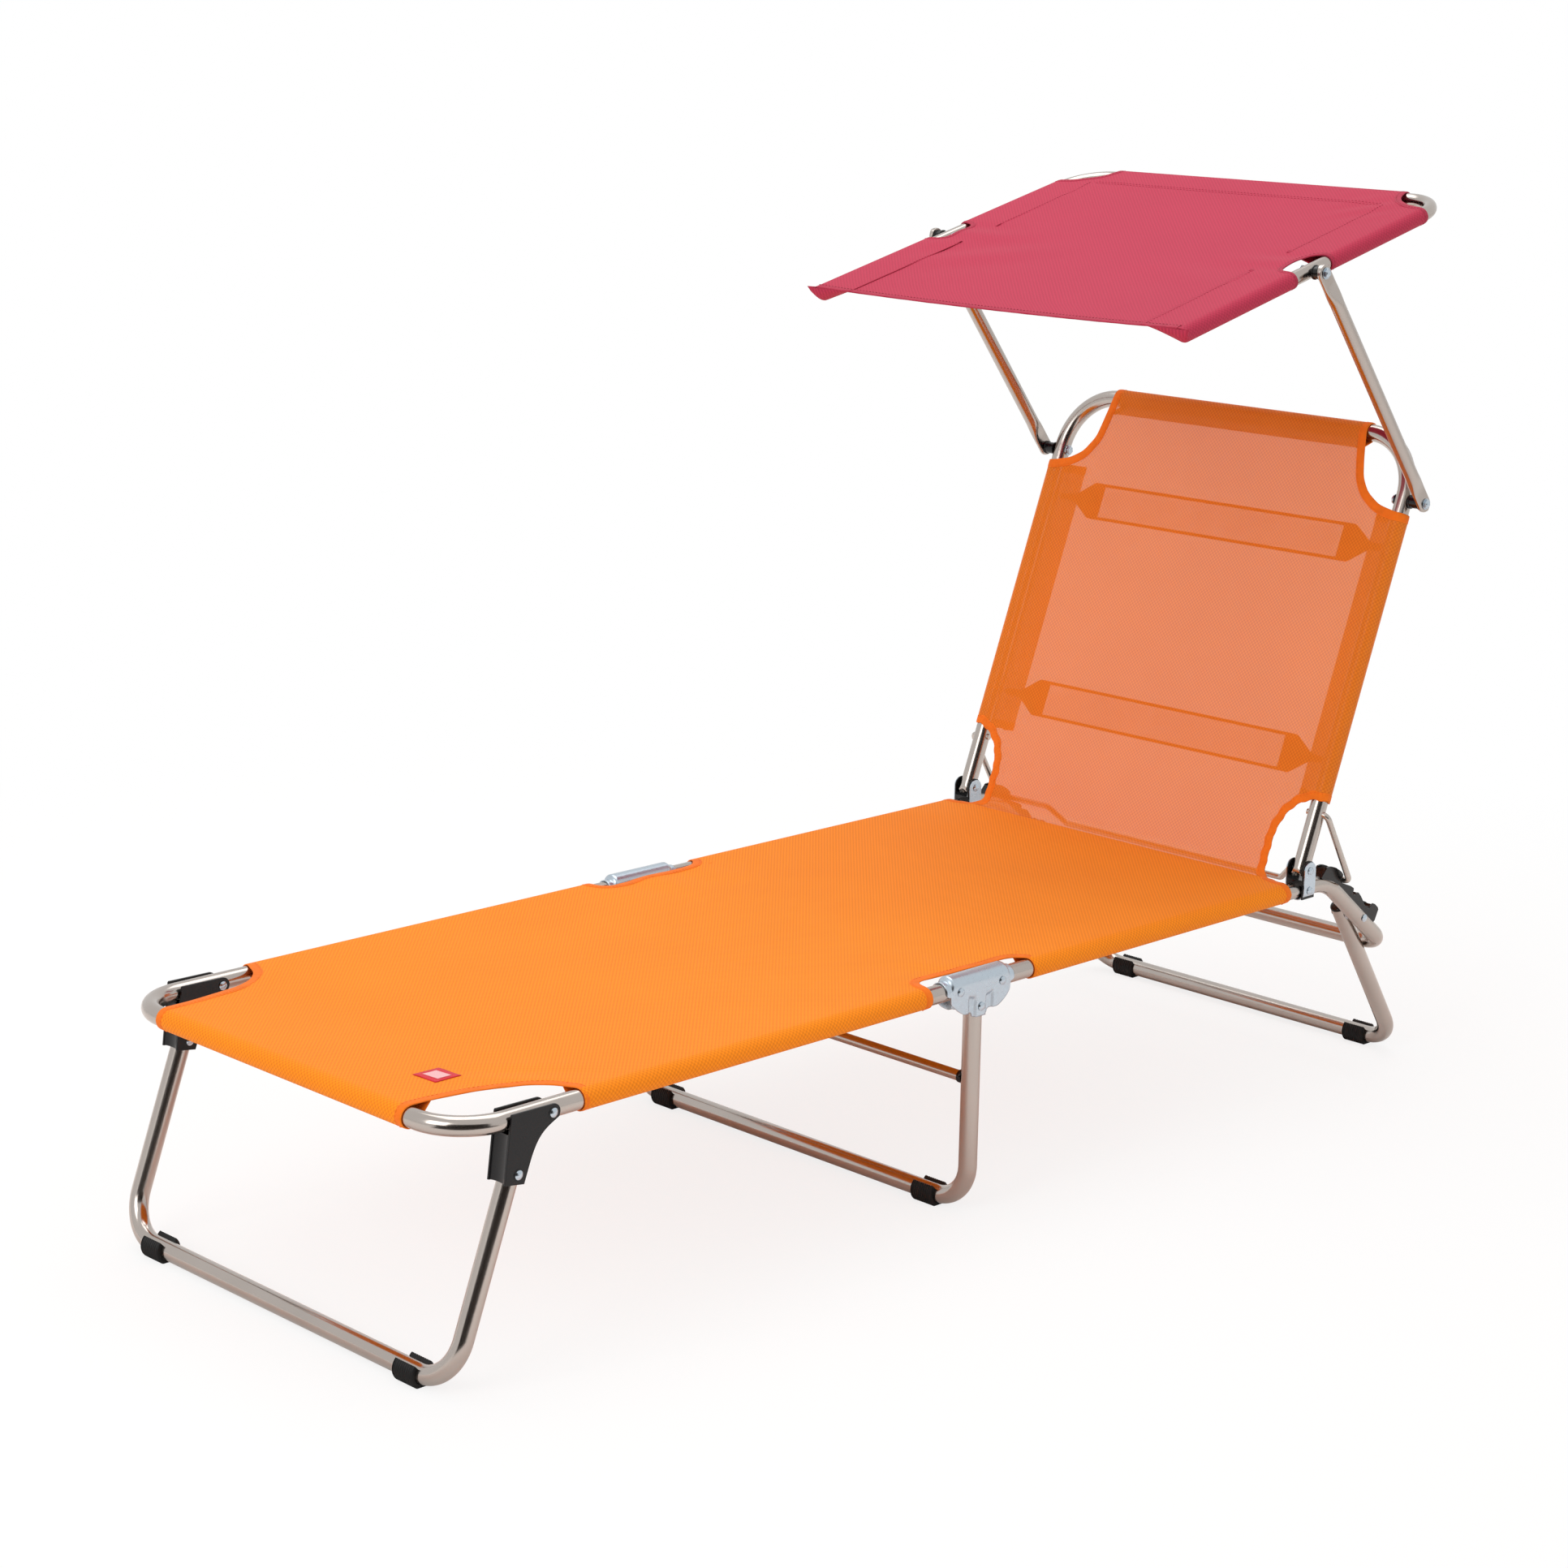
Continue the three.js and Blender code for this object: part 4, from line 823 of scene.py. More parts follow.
class LOUNGER_OT_bed_tubes(bpy.types.Operator):
    """Build the round tubes of the foot frame, seat frame and backrest"""
    bl_idname = "lounger.bed_tubes"
    bl_label = "Bed Tubes"

    def execute(self, context):
        start, end = FOLD_Y + FOLD_OFFSET - FOLD_REACH, FOLD_Y - FOLD_OFFSET + FOLD_REACH
        foot = tube([(RAIL_X, end, RAIL_Z), (RAIL_X, 0, RAIL_Z)], (63,), reach=FOLD_REACH)
        make_tube("foot_bed_tube", foot, "foot_frame", "foot_frame_tube")
        seat = tube([(RAIL_X, start, RAIL_Z), (RAIL_X, SLANT_Y, RAIL_Z), (RAIL_X, *on_slant(SLANT_LENGTH, 0))],
                    (80, 32), reach=FOLD_REACH)
        make_tube("seat_bed_tube", seat, "seat_frame", "seat_frame_tube")
        back = tube([(RAIL_X, -TUBE_R, 0), (RAIL_X, BACK_LENGTH, 0)], (76,), reach=TUBE_R)
        make_tube("backrest_bed_tube", back, "backrest", "backrest_tube", in_backrest)
        return {"FINISHED"}


def leg(half, top, floor, bend):
    return tube([(half, 0, top), (half, 0, floor)], (bend,), side=(0, 1, 0))


def below(origin, lean, down):
    """A place down a leg that leans forward by lean."""
    return origin[0] - down * sin(lean), origin[1] - down * cos(lean)


FRONT_AXIS = (FRONT_Y - FRONT_BACK * cos(FRONT_LEAN), RAIL_Z + FRONT_BACK * sin(FRONT_LEAN))
FRONT_LONG = (FRONT_AXIS[1] - FLOOR_BAR_Z) / cos(FRONT_LEAN)
FRONT_RIVET = below(FRONT_AXIS, FRONT_LEAN, FRONT_RIVET_DOWN)
REAR_PIVOT = on_slant(REAR_ALONG, 0)
REAR_LEAN = pi / 2 - SLANT - np.arcsin((2 * TUBE_R + 1.4) / (SLANT_LENGTH - REAR_ALONG))
REAR_LONG = (REAR_PIVOT[1] - FLOOR_BAR_Z) / cos(REAR_LEAN)
in_rear_leg = tilted(REAR_PIVOT, REAR_LEAN)


class LOUNGER_OT_legs(bpy.types.Operator):
    """Build the three floor legs and the middle leg's brace with its end plugs"""
    bl_idname = "lounger.legs"
    bl_label = "Legs"

    def execute(self, context):
        front_top, middle_top, brace_end, brace_r = -26.1, 270, 277.7, 6.5
        make_tube("front_floor_leg", leg(RAIL_X, front_top, -FRONT_LONG, 50), "front_leg", "front_leg_tube",
                  tilted(FRONT_AXIS, -FRONT_LEAN))
        make_tube("middle_floor_leg", leg(RAIL_X, middle_top, FLOOR_BAR_Z, 48), "mid_frame", "mid_leg_tube",
                  lambda points: points + (0, FOLD_Y, 0))
        make_tube("rear_floor_leg", leg(REAR_X, TUBE_R, -REAR_LONG, 45), "rear_leg", "rear_leg_tube", in_rear_leg)
        line = np.array(both_sides([(brace_end, FOLD_Y, BRACE_Z)]), float)
        make_tube("middle_brace", rod(line, headings(line), brace_r, (0, 0, 1), 28), "mid_frame", "mid_leg_brace")
        plug = turned([(0, 272.5), (7.2, 272.5), (7.9, 273.2), (7.9, 276.2), (6.4, 278.2), (0, 278.4)], FOLD_Y, BRACE_Z)
        make_pair("brace_plug", plug, satin_black(), "mid_frame", "black_plastic")
        return {"FINISHED"}


def rubber_foot(x, bar_y):
    """A clip round the floor bar: an arc open for 84 degrees above, its outer radius ribbed by a
    raised cosine of 3.3 mm pitch along the bar and rounded at both ends, its sole cut flat."""
    half, ribbed, corner, pitch, outer_r, inner_r = 16.5, 14.9, 1.6, 3.3, 16.2, 11.1
    place = np.linspace(-half, half, 81)
    past = np.clip(np.abs(place) - ribbed, 0, None)
    ribs = (0.5 - 0.5 * np.cos(2 * pi * place / pitch)) * (np.abs(place) < ribbed)
    cut = (ribs + corner * (1 - rounding(past / corner)))[:, None]
    outer, inner = outer_r - cut, inner_r * np.ones_like(cut)
    angle = np.radians(np.linspace(132, 408, 49))
    ys = np.hstack((outer * np.cos(angle), inner * np.cos(angle[::-1])))
    zs = np.hstack((np.maximum(FLOOR_BAR_Z + outer * np.sin(angle), 0.3 * cut),
                    FLOOR_BAR_Z + inner * np.sin(angle[::-1])))
    return capped(laid(x + place[:, None], bar_y + ys, zs), grid_marks(place, np.arange(ys.shape[1] + 1) * 1.5))


class LOUNGER_OT_feet(bpy.types.Operator):
    """Build the ribbed rubber feet and the caps on the rear leg's upper ends"""
    bl_idname = "lounger.feet"
    bl_label = "Feet and Caps"

    def execute(self, context):
        rubber = moulded("ribbed_black_rubber", setting("plastic").rubber, 0.5, 0.6, 0.05)
        for name, x, y, body in (("front", 228, FRONT_AXIS[0] - FRONT_LONG * sin(FRONT_LEAN), "front_leg"),
                                 ("mid", 229, FOLD_Y, "mid_frame"),
                                 ("rear", 205, REAR_PIVOT[0] + REAR_LONG * sin(REAR_LEAN), "rear_leg")):
            make_pair(f"{name}_ribbed_foot", rubber_foot(x, y), rubber, body, "foot_rubber", f"{name}_foot")
        seat = 11.3
        cap = turned([(r, seat + up) for r, up in ((0, -5.5), (8.2, -5.5), (8.2, 0), (10.6, 0), (11, 0.5), (11, 1.4),
                                                   (10.4, 2.6), (8.6, 3.5), (5, 3.95), (0, 4))], 0, 0)
        upright = moved(cap, lambda p: laid(REAR_X + p[..., 1], p[..., 2], p[..., 0]))
        make_pair("rear_leg_end_cap", moved(upright, in_rear_leg), satin_black(), "rear_leg",
                  "black_plastic", "rear_leg_cap")
        return {"FINISHED"}


class LOUNGER_OT_brackets(bpy.types.Operator):
    """Build the glossy channels that carry the front leg"""
    bl_idname = "lounger.brackets"
    bl_label = "Leg Brackets"

    def execute(self, context):
        gloss = moulded("glossy_black_polyamide", setting("plastic").gloss, 0.24, 1.6, 0.02, coat=0.08)
        long, deep = 56, 64
        low, high = np.array((FRONT_Y - 64.8, RAIL_Z - deep)), np.array((FRONT_Y - long, RAIL_Z + 10))
        shares = ((-0.12, -0.2), (-0.24, -0.27), (-0.36, -0.38), (-0.45, -0.51), (-0.52, -0.64), (-0.7, -1.06))
        eye = arc2(FRONT_Y, RAIL_Z, 9.4, 90, -40, 14)
        curve = eased(np.vstack((eye[-1:], np.array(shares) * (long, deep) + (FRONT_Y, RAIL_Z))), 3, 6)
        outline = np.vstack((low, high + (0.4, -1.2), high + (1.6, 0), eye[:-1], curve))
        cheek, gauge = 13.15, 2.5
        shells = [part for x in (RAIL_X + cheek, RAIL_X - cheek)
                  for part in slab(outline, x - gauge / 2, x + gauge / 2)]
        # web: across u from cheek to cheek and up v, hollowed by (1 - u^2), its top edge arched round the rail
        u, v = np.linspace(-1, 1, 17), np.linspace(0, 1, 13)[:, None]
        rise = (RAIL_Z - 11.5 - low[1] - 1.5 + 3.0 * u ** 4) * v
        front_y = low[0] + (high[0] - low[0]) * rise / 74 + 3.2 * (1 - u ** 2) ** 0.7 + 0.3
        faces = [laid(RAIL_X + 13.0 * u, front_y + push, low[1] + rise + 0.3) for push in (0, 2.5)]
        shells += capped(np.hstack((faces[0], faces[1][:, ::-1])), grid_marks(np.arange(13) * 4.0, np.arange(35) * 1.6))
        # a shallow boss under each rivet's head on the outer cheek
        for y, z in ((FRONT_Y, RAIL_Z), FRONT_RIVET):
            shells += turned([(0, 301), (6.9, 301), (6.9, 303.5), (6.4, 303.95), (0, 303.95)], y, z)
        make_pair("front_leg_channel", shells, gloss, "front_leg", "bracket_plastic", "front_leg_bracket", bevel=0.9)
        return {"FINISHED"}


def rivet(inner, outer, y, z, extra=()):
    """Shank between two faces with a domed head outside each."""
    inner, outer = inner - HEAD_GAP, outer + HEAD_GAP
    heads = dome(5.2, 2.4, inner, -1), dome(5.2, 2.4, outer, 1)[::-1]
    return turned(np.vstack((heads[0], ((3, inner),), *extra, ((3, outer),), heads[1])), y, z)


class LOUNGER_OT_rivets(bpy.types.Operator):
    """Build the domed rivets of every hinge"""
    bl_idname = "lounger.rivets"
    bl_label = "Rivets"

    def execute(self, context):
        steel = plated_steel("bright_rivet_steel", setting("metal").zinc, 0.2)
        bracket, housing, strap, tube_face, rear_face = 14.7, 13.9, 15.2, 11.4, 11.2
        for name, face, y, z, body in (("front_leg_pivot", bracket, FRONT_Y, RAIL_Z, "foot_frame"),
                                       ("front_leg_fixing", bracket, *FRONT_RIVET, "front_leg"),
                                       ("foot_hinge", housing, FOLD_Y - FOLD_OFFSET, RAIL_Z, "mid_frame"),
                                       ("seat_hinge", housing, FOLD_Y + FOLD_OFFSET, RAIL_Z, "mid_frame"),
                                       ("mid_leg", housing, FOLD_Y, RAIL_Z - 24, "mid_frame"),
                                       ("clevis_rail", strap, BACK_Y, RAIL_Z, "seat_frame"),
                                       ("backrest_pivot", strap, BACK_Y, BACK_Z, "seat_frame")):
            make_pair(f"{name}_domed_rivet", rivet(RAIL_X - face, RAIL_X + face, y, z), steel, body, "zinc_steel",
                      f"{name}_rivet")
        left, right = REAR_X + tube_face, RAIL_X - tube_face
        rear = rivet(REAR_X - rear_face, RAIL_X + rear_face, *REAR_PIVOT,
                     extra=(((3, left), (7, left), (7, right), (3, right)),))
        make_pair("rear_leg_domed_rivet", rear, steel, "seat_frame", "zinc_steel", "rear_leg_rivet")
        return {"FINISHED"}


def hinge_housing():
    """Pressed channel over the fold. Across: cheek, half circle, cheek; the half circle's centre is
    4.65 mm above the rail's axis over the body and 0.25 mm at the collars. Along: the lower edge
    drops from collar to cheek to a middle tongue. Each cheek is pressed in beside the tongue."""
    bars = np.array((0, 6, 7.4, 8.2, 9, 9.8, 10.8, 12.2, 13.2, 15, 17.5, 19.2, 20, 20.8, 21.6, 24, 28, 31, 35, 39, 43,
                     45, 46.2, 47.2, 48.2, 49.2, 50, 50.6, 52, 55, 56.3, 57))
    along = np.concatenate((-bars[:0:-1], bars))[:, None]
    a = np.abs(along)
    drop = np.interp(a, (0, 10.5, 12.4, 13.6, 28, 33, 40, 46, 49.4, 50.2, 50.6, 55.4, 57),
                     (35.6, 35.4, 34, 29.6, 28.6, 26.5, 22, 16.5, 13.2, 11, 4, 2.6, 0.4))
    ease = smooth((a - 45) / 5.2)
    radius, crown = 12.95 - 1.05 * ease, 4.4 * (1 - ease) + 0.25
    down, flat, turn = np.linspace(1, 0, 23)[:-1], np.zeros(22), np.linspace(0, pi, 19)
    side = np.concatenate((flat + 1, np.cos(turn), flat - 1))
    low = np.concatenate((down, np.zeros(19), down[::-1]))
    z = crown + radius * np.concatenate((flat, np.sin(turn), flat)) - low * (crown + drop)
    dent = np.exp(-((a - 14.5) / 6.2) ** 10) / (1 + np.exp((z + 10.5 - 0.25 * (a - 14.5)) / 0.7))
    dimple = np.exp(-((a - 42.5) / 2.6) ** 2) * np.exp(-((z + 9) / 2.6) ** 2)
    x = radius * side - np.sign(side) * (np.abs(side) == 1) * (3.4 * dent + 0.9 * dimple)
    grid = laid(RAIL_X + x, FOLD_Y + along, RAIL_Z + z)
    return [shell(grid, grid_marks(along.ravel(), runs(grid[len(bars) - 1])))]


class LOUNGER_OT_hinges(bpy.types.Operator):
    """Build the pressed housings over the fold, and the straps and liners at the backrest's foot"""
    bl_idname = "lounger.hinges"
    bl_label = "Hinges"

    def execute(self, context):
        make_pair("fold_housing", hinge_housing(), zinc(), "mid_frame", "zinc_steel", "hinge_housing", wall=1.6,
                  sharp=60)
        wide, across = 11.5, 14.35
        sole, top, level = RAIL_Z - TUBE_R - 0.3 - 0.75, BACK_Z + wide, BACK_Z - 12
        path, _ = bent([(-across, 0, top), (-across, 0, sole), (across, 0, sole), (across, 0, top)], (11, 11))
        leads = [laid(x, 0, np.linspace(*ends, 25)) for x, *ends in ((-across, top, level), (across, level, top))]
        path = np.vstack((leads[0], path[1:-1], leads[1]))
        half = wide * rounding(np.clip(path[:, 2:] - BACK_Z, 0, None) / wide)
        share = np.linspace(-1, 1, 9)
        grid = laid(RAIL_X + path[:, :1], BACK_Y + half * share, path[:, 2:])
        make_pair("backrest_hinge_strap", [shell(grid, grid_marks(runs(path), share * wide))], zinc(), "seat_frame",
                  "zinc_steel", "backrest_clevis", wall=1.5, bevel=0.3)
        foot, wide = RAIL_Z - 11, 12.5
        outline = np.vstack(((BACK_Y + wide, foot), arc2(BACK_Y, BACK_Z, wide, 0, 180, 20), (BACK_Y - wide, foot)))
        liner = [part for side in (-12.3, 12.3) for part in slab(outline, RAIL_X + side - 1, RAIL_X + side + 1)]
        # saddle between the tubes, hollowed along its top by the backrest's round end
        saddle_top, u = BACK_Z - TUBE_R - 0.5, np.linspace(-1, 1, 17)
        saddle = np.vstack((np.column_stack((BACK_Y + wide * u, saddle_top - 1.2 + 1.2 * u ** 2)),
                            ((BACK_Y + wide, saddle_top - 8), (BACK_Y - wide, saddle_top - 8))))
        liner += slab(saddle, RAIL_X - 11.8, RAIL_X + 11.8)
        make_pair("backrest_hinge_liner", liner, satin_black(), "seat_frame", "black_plastic", "clevis_liner",
                  bevel=0.5)
        return {"FINISHED"}


def rack_outline(lower=0.0):
    """The rack's side outline along the slant: hump, three notches and two teeth, with whatever
    stands more than 9 mm high taken down by lower, evenly over the first 6 mm of that."""
    def scaled(*shares):
        return np.array(shares) * (126, 27)

    def notch(along, rise, open_before, open_after):
        return arc2(along, rise, 4.3, 180 + open_before, 360 - open_after, 10)

    line = np.vstack((
        scaled((-0.167, -0.19), (-0.155, 0.41), (-0.12, 0.56), (-0.08, 0.66), (-0.02, 0.76), (0.05, 0.815),
               (0.1, 0.835), (0.145, 0.81)), notch(*BAIL_NOTCH, 0, 65),
        scaled((0.262, 0.56), (0.35, 0.69), (0.41, 0.73)), notch(58, 17.5, 0, 0),
        scaled((0.52, 0.76), (0.58, 0.73), (0.64, 0.66), (0.7, 0.56)), notch(97.8, 18.5, 65, 0),
        scaled((0.84, 0.96), (0.87, 1), (0.94, 1), (0.965, 0.93), (0.99, 0.37), (0.95, 0))))
    line[:, 1] -= lower * np.clip((line[:, 1] - 9) / 6, 0, 1)
    return line


class LOUNGER_OT_bail(bpy.types.Operator):
    """Build the notched racks and the bent rod that rests in them and props the backrest"""
    bl_idname = "lounger.bail"
    bl_label = "Bail and Racks"

    def execute(self, context):
        plates = [(rack_outline(), -8.5, -5.9), (rack_outline(), 5.9, 8.5), (rack_outline(5.5), -6.2, 6.2)]
        # ribs across the hollows between the two walls
        for along, top in ((-14, 13), (2, 20.5), (14, 21), (36, 14.5), (46, 19), (66, 20), (76, 16), (108, 25),
                           (118, 24.5)):
            rib = np.array(((-0.9, 4), (-0.9, top), (0.9, top), (0.9, 4))) + (along, 0)
            plates.append((rib, -6.2, 6.2))
        shells = [part for line, low, high in plates
                  for part in slab(laid(*on_slant(*line.T)), RAIL_X + low, RAIL_X + high)]
        make_pair("bail_rack", shells, satin_black(), "seat_frame", "black_plastic", "ratchet_rack", bevel=0.5)
        pivot, rest = ahead_of((BACK_Y, BACK_Z), BACK_LEAN, BAIL_ALONG), on_slant(*BAIL_NOTCH)
        reach = hypot(rest[0] - pivot[0], rest[1] - pivot[1])
        lean = atan2(rest[0] - pivot[0], pivot[1] - rest[1])
        pin, side, dip, middle, drop = 275, 306, 212, 187, 25
        right = [(pin, 0, 0), (side, 0, 0), (side, 0, -reach), (dip, 0, -reach), (middle, 0, -reach - drop)]
        steel = drawn_metal("drawn_bright_steel_rod", setting("metal").rod, 0.26)
        bail = rod(*bent(both_sides(right), (8,) * 8), BAIL_R, (0, 1, 0), 24, 0.5)
        make("bent_support_rod", moved(bail, tilted(pivot, lean)), steel, "bail", "zinc_steel", ("support_bail",))
        return {"FINISHED"}


def canopy_arm():
    """Round tube pressed flat at both ends: a superellipse whose half widths go from (3, 11) and
    power 4.5 at the eyes to (9, 9) and power 2 between, the eyes rounded by sqrt(r^2 - y^2)."""
    eye, thin, flat_run, ease_run = 11, 3, 17, 35
    near = np.concatenate((-eye * np.cos(np.linspace(0, pi / 2, 10)), np.linspace(6, 56, 18)))
    place = np.concatenate((near, ARM_REACH - near[::-1]))[:, None]
    from_end = np.minimum(place, ARM_REACH - place)
    ease = smooth((from_end - flat_run) / ease_run)
    high = np.where(from_end < 0, eye * rounding(from_end / eye), eye - 2 * ease)
    profile = ring(thin + 6 * ease, 36, 4.5 - 2.5 * ease, high)
    return [shell(laid(ARM_X + profile[..., 0], place, profile[..., 1]),
                  grid_marks(place.ravel(), np.linspace(0, 56, 37)), around=True)]


def arm_fastening(bar_face, y):
    """Hex head inside the bar, washers, and a domed nut outside the arm, as turned shells; the
    hexagons are the same turning with six sides."""
    inner, outer = bar_face - 0.3, ARM_X + ARM_FACE
    washer = outer + 0.9
    return (turned([(0, inner - 4), (5.3, inner - 4), (6, inner - 3.4), (6, inner - 1), (0, inner - 1)], y, 0, 6)
            + turned([(0, inner - 1), (7.2, inner - 1), (7.2, inner), (3, inner), (3, outer), (7.2, outer),
                      (7.2, washer), (0, washer)], y, 0)
            + turned([(0, washer), (6, washer), (6, outer + 3), (5.2, outer + 3.6), (0, outer + 3.6)], y, 0, 6)
            + turned(dome(4.4, 2.4, outer + 3, 1)[::-1], y, 0, 20))


def arm_spacer(bar_face, y):
    low, high = bar_face + 0.3, ARM_X - ARM_FACE
    return turned([(3.1, low), (8.6, low), (9, low + 0.4), (9, low + 1.6), (7.9, low + 2.2), (7.9, high - 2.2),
                   (9, high - 1.6), (9, high - 0.4), (8.6, high), (3.1, high), (3.1, low)], y, 0)


class LOUNGER_OT_canopy_frame(bpy.types.Operator):
    """Build the sunshade's tube, its arms, spacers and bolts"""
    bl_idname = "lounger.canopy_frame"
    bl_label = "Canopy Frame"

    def execute(self, context):
        bow = tube([(CANOPY_X, -CANOPY_FRONT, 0), (CANOPY_X, CANOPY_REAR, 0)], (52,), CANOPY_R, 1.2, count=32)
        make_tube("canopy_bow", bow, "canopy", "canopy_tube", in_canopy)
        make_pair("flattened_arm", moved(canopy_arm(), in_arms), satin_aluminium(), "canopy_arms", "frame_tube",
                  "canopy_arm", sharp=50)
        for name, bar_x, bar_r, y, body, lay in (
                ("lower", RAIL_X, TUBE_R, 0, "backrest", tilted(ARM_PIVOT, BACK_LEAN)),
                ("upper", CANOPY_X, CANOPY_R, ARM_REACH, "canopy_arms", in_arms)):
            make_pair(f"{name}_hex_bolt", moved(arm_fastening(bar_x - bar_r, y), lay), zinc(), body, "zinc_steel",
                      f"{name}_arm_bolt")
            make_pair(f"{name}_waisted_spacer", moved(arm_spacer(bar_x + bar_r, y), lay), satin_black(), body,
                      "black_plastic", f"{name}_arm_spacer")
        return {"FINISHED"}


class LOUNGER_OT_bed_cloth(bpy.types.Operator):
    """Stretch the mesh cloth over the foot and seat frames, with its bindings"""
    bl_idname = "lounger.bed_cloth"
    bl_label = "Bed Cloth"

    def execute(self, context):
        cloth = setting("cloth")
        mesh = woven("orange_coated_mesh", cloth.bed, cloth.pitch)
        tapes = trimmings("orange", cloth.binding, cloth.binding)
        section, bar = hem_section(CLOTH_RISE, SIDE_SEAM), hem_section(CLOTH_RISE, BAR_SEAM)

        def sheet(name, parts, more, node, blend):
            edge = whole(parts)
            shells = [shell(*sheet_grid(edge, bed_rise))] + more + side_hem(edge, RAIL_X, section)
            return make(name, moved(shells, on_bed), mesh, slot="orange_mesh", nodes=(node,), sharp=80,
                        wall=CLOTH_GAUGE, blend=blend)

        def tape(name, line, side, **ride):
            return sewn(name, line, side, on_bed, tapes, "orange_mesh", **ride)

        cut, side, fold = foot_edge()
        foot = sheet("foot_mesh_sheet", (cut, side, fold), bar_hem(FOOT_HALF, 0, -1, bar), "foot_panel", FOLD_FOOT)
        corner = hemmed(bar_ring(FOOT_HALF, 0, -1, bar), cut, bed_rise, side_ring(RAIL_X, FOOT_SLEEVE[0], section))
        trims = tape("foot_corner_binding", corner, (-1, 0, 0), body="foot_frame")
        before = np.vstack((side_ring(RAIL_X, FOOT_SLEEVE[1], section)[:0:-1], edge_path(fold, bed_rise)))
        trims += tape("foot_fold_binding", before, (0, -1, 0), blend=FOLD_FOOT)
        fold, side, lead = seat_edge()
        seat = sheet("seat_mesh_sheet", (fold, side, lead), [], "seat_panel", FOLD_SEAT)
        after = np.vstack((edge_path(fold, bed_rise), side_ring(RAIL_X, SEAT_SLEEVE[0], section)[1:]))
        trims = tape("seat_fold_binding", after, (-1, 0, 0), blend=FOLD_SEAT)
        return {"FINISHED"}


class LOUNGER_OT_backrest_cloth(bpy.types.Operator):
    """Stretch the mesh cloth over the backrest, with its bindings"""
    bl_idname = "lounger.backrest_cloth"
    bl_label = "Backrest Cloth"

    def execute(self, context):
        cloth = setting("cloth")
        mesh = woven("orange_sheer_mesh", cloth.back, cloth.pitch, cloth.cover)
        tapes = trimmings("orange", cloth.binding, cloth.binding)
        section, bar = flap_section(CLOTH_RISE, BACK_FLAP), hem_section(CLOTH_RISE, TOP_SEAM)
        low, side, top = back_edge()
        edge = whole((low, side, top))
        shells = [shell(*sheet_grid(edge, back_rise))] + bar_hem(TOP_HALF, BACK_LENGTH, 1, bar)
        back = make("backrest_mesh_sheet", moved(shells + side_hem(edge, RAIL_X, section), on_back), mesh,
                    slot="orange_mesh", nodes=("back_panel",), sharp=80, wall=CLOTH_GAUGE, blend=CREASE)
        # the binding's line from the seat's sleeve past the crease to the backrest's, and the
        # same line 1 mm inward, which tells the tape which way its width lies
        lines = []
        for push in (0, 1):
            lead, rest = (part + push * headings(part)[:, ::-1] * (-1, 1) for part in (seat_edge()[2][:-1], low))
            hem = side_ring(RAIL_X, SEAT_SLEEVE[1] - push, hem_section(CLOTH_RISE, SIDE_SEAM))[:0:-1]
            flap = side_ring(RAIL_X, BACK_SLEEVE[0] + push, section)[1:]
            lines.append(np.vstack((on_bed(np.vstack((hem, edge_path(lead, bed_rise)))),
                                    on_back(np.vstack((edge_path(rest, back_rise), flap))))))
        trims = sewn("crease_binding", *lines, np.asarray, tapes, "orange_mesh", ripple=0.9, blend=CREASE)
        corner = hemmed(side_ring(RAIL_X, BACK_SLEEVE[1], section), top, back_rise,
                        bar_ring(TOP_HALF, BACK_LENGTH, 1, bar))
        trims += sewn("backrest_top_binding", corner, (0, *-BACK_UP), on_back, tapes, "orange_mesh", body="backrest")
        return {"FINISHED"}


class LOUNGER_OT_tension_bands(bpy.types.Operator):
    """Lay the two bands behind the backrest's cloth: sheer between two hems, doubled at their ends"""
    bl_idname = "lounger.tension_bands"
    bl_label = "Tension Bands"

    def execute(self, context):
        cloth = setting("cloth")
        sheer = woven("sheer_band_mesh", cloth.back, cloth.pitch, 0.12)
        doubled = woven("doubled_band_mesh", cloth.band, cloth.pitch, 0.97)
        inner, outer = np.linspace(-205, 205, 52)[:, None], np.linspace(203, 277, 24)[:, None]

        def strip(along, x, v, lift=0.0):
            """Half as tall as 25.5 mm, tapering past 221 mm from the middle to the side flaps."""
            tall = np.interp(np.abs(x), (0, 221, 250, 277), (25.5, 25.5, 5, 4))
            grid = laid(x, along + tall * v, -9.0 + 0.5 * np.sin(x / 23) * (1 - v ** 2) - lift)
            return shell(grid, grid[..., :2])

        for name, along in (("upper", 427.0), ("lower", 143.0)):
            middle = [strip(along, inner, np.linspace(-0.86, 0.86, 7))]
            band = make(f"{name}_back_band", moved(middle, in_backrest), sheer, "backrest", "orange_mesh",
                        (f"{name}_tension_band",), sharp=80, wall=0.6)
            parts = [strip(along, inner, np.array(ends), 0.9) for ends in ((-1, -0.84), (0.84, 1))]
            parts += [strip(along, end * outer, np.linspace(-1, 1, 7), 0.9) for end in (-1, 1)]
            hems = make(f"{name}_band_hems", moved(parts, in_backrest), doubled, "backrest", "orange_mesh", sharp=80,
                        wall=1.0)
        return {"FINISHED"}


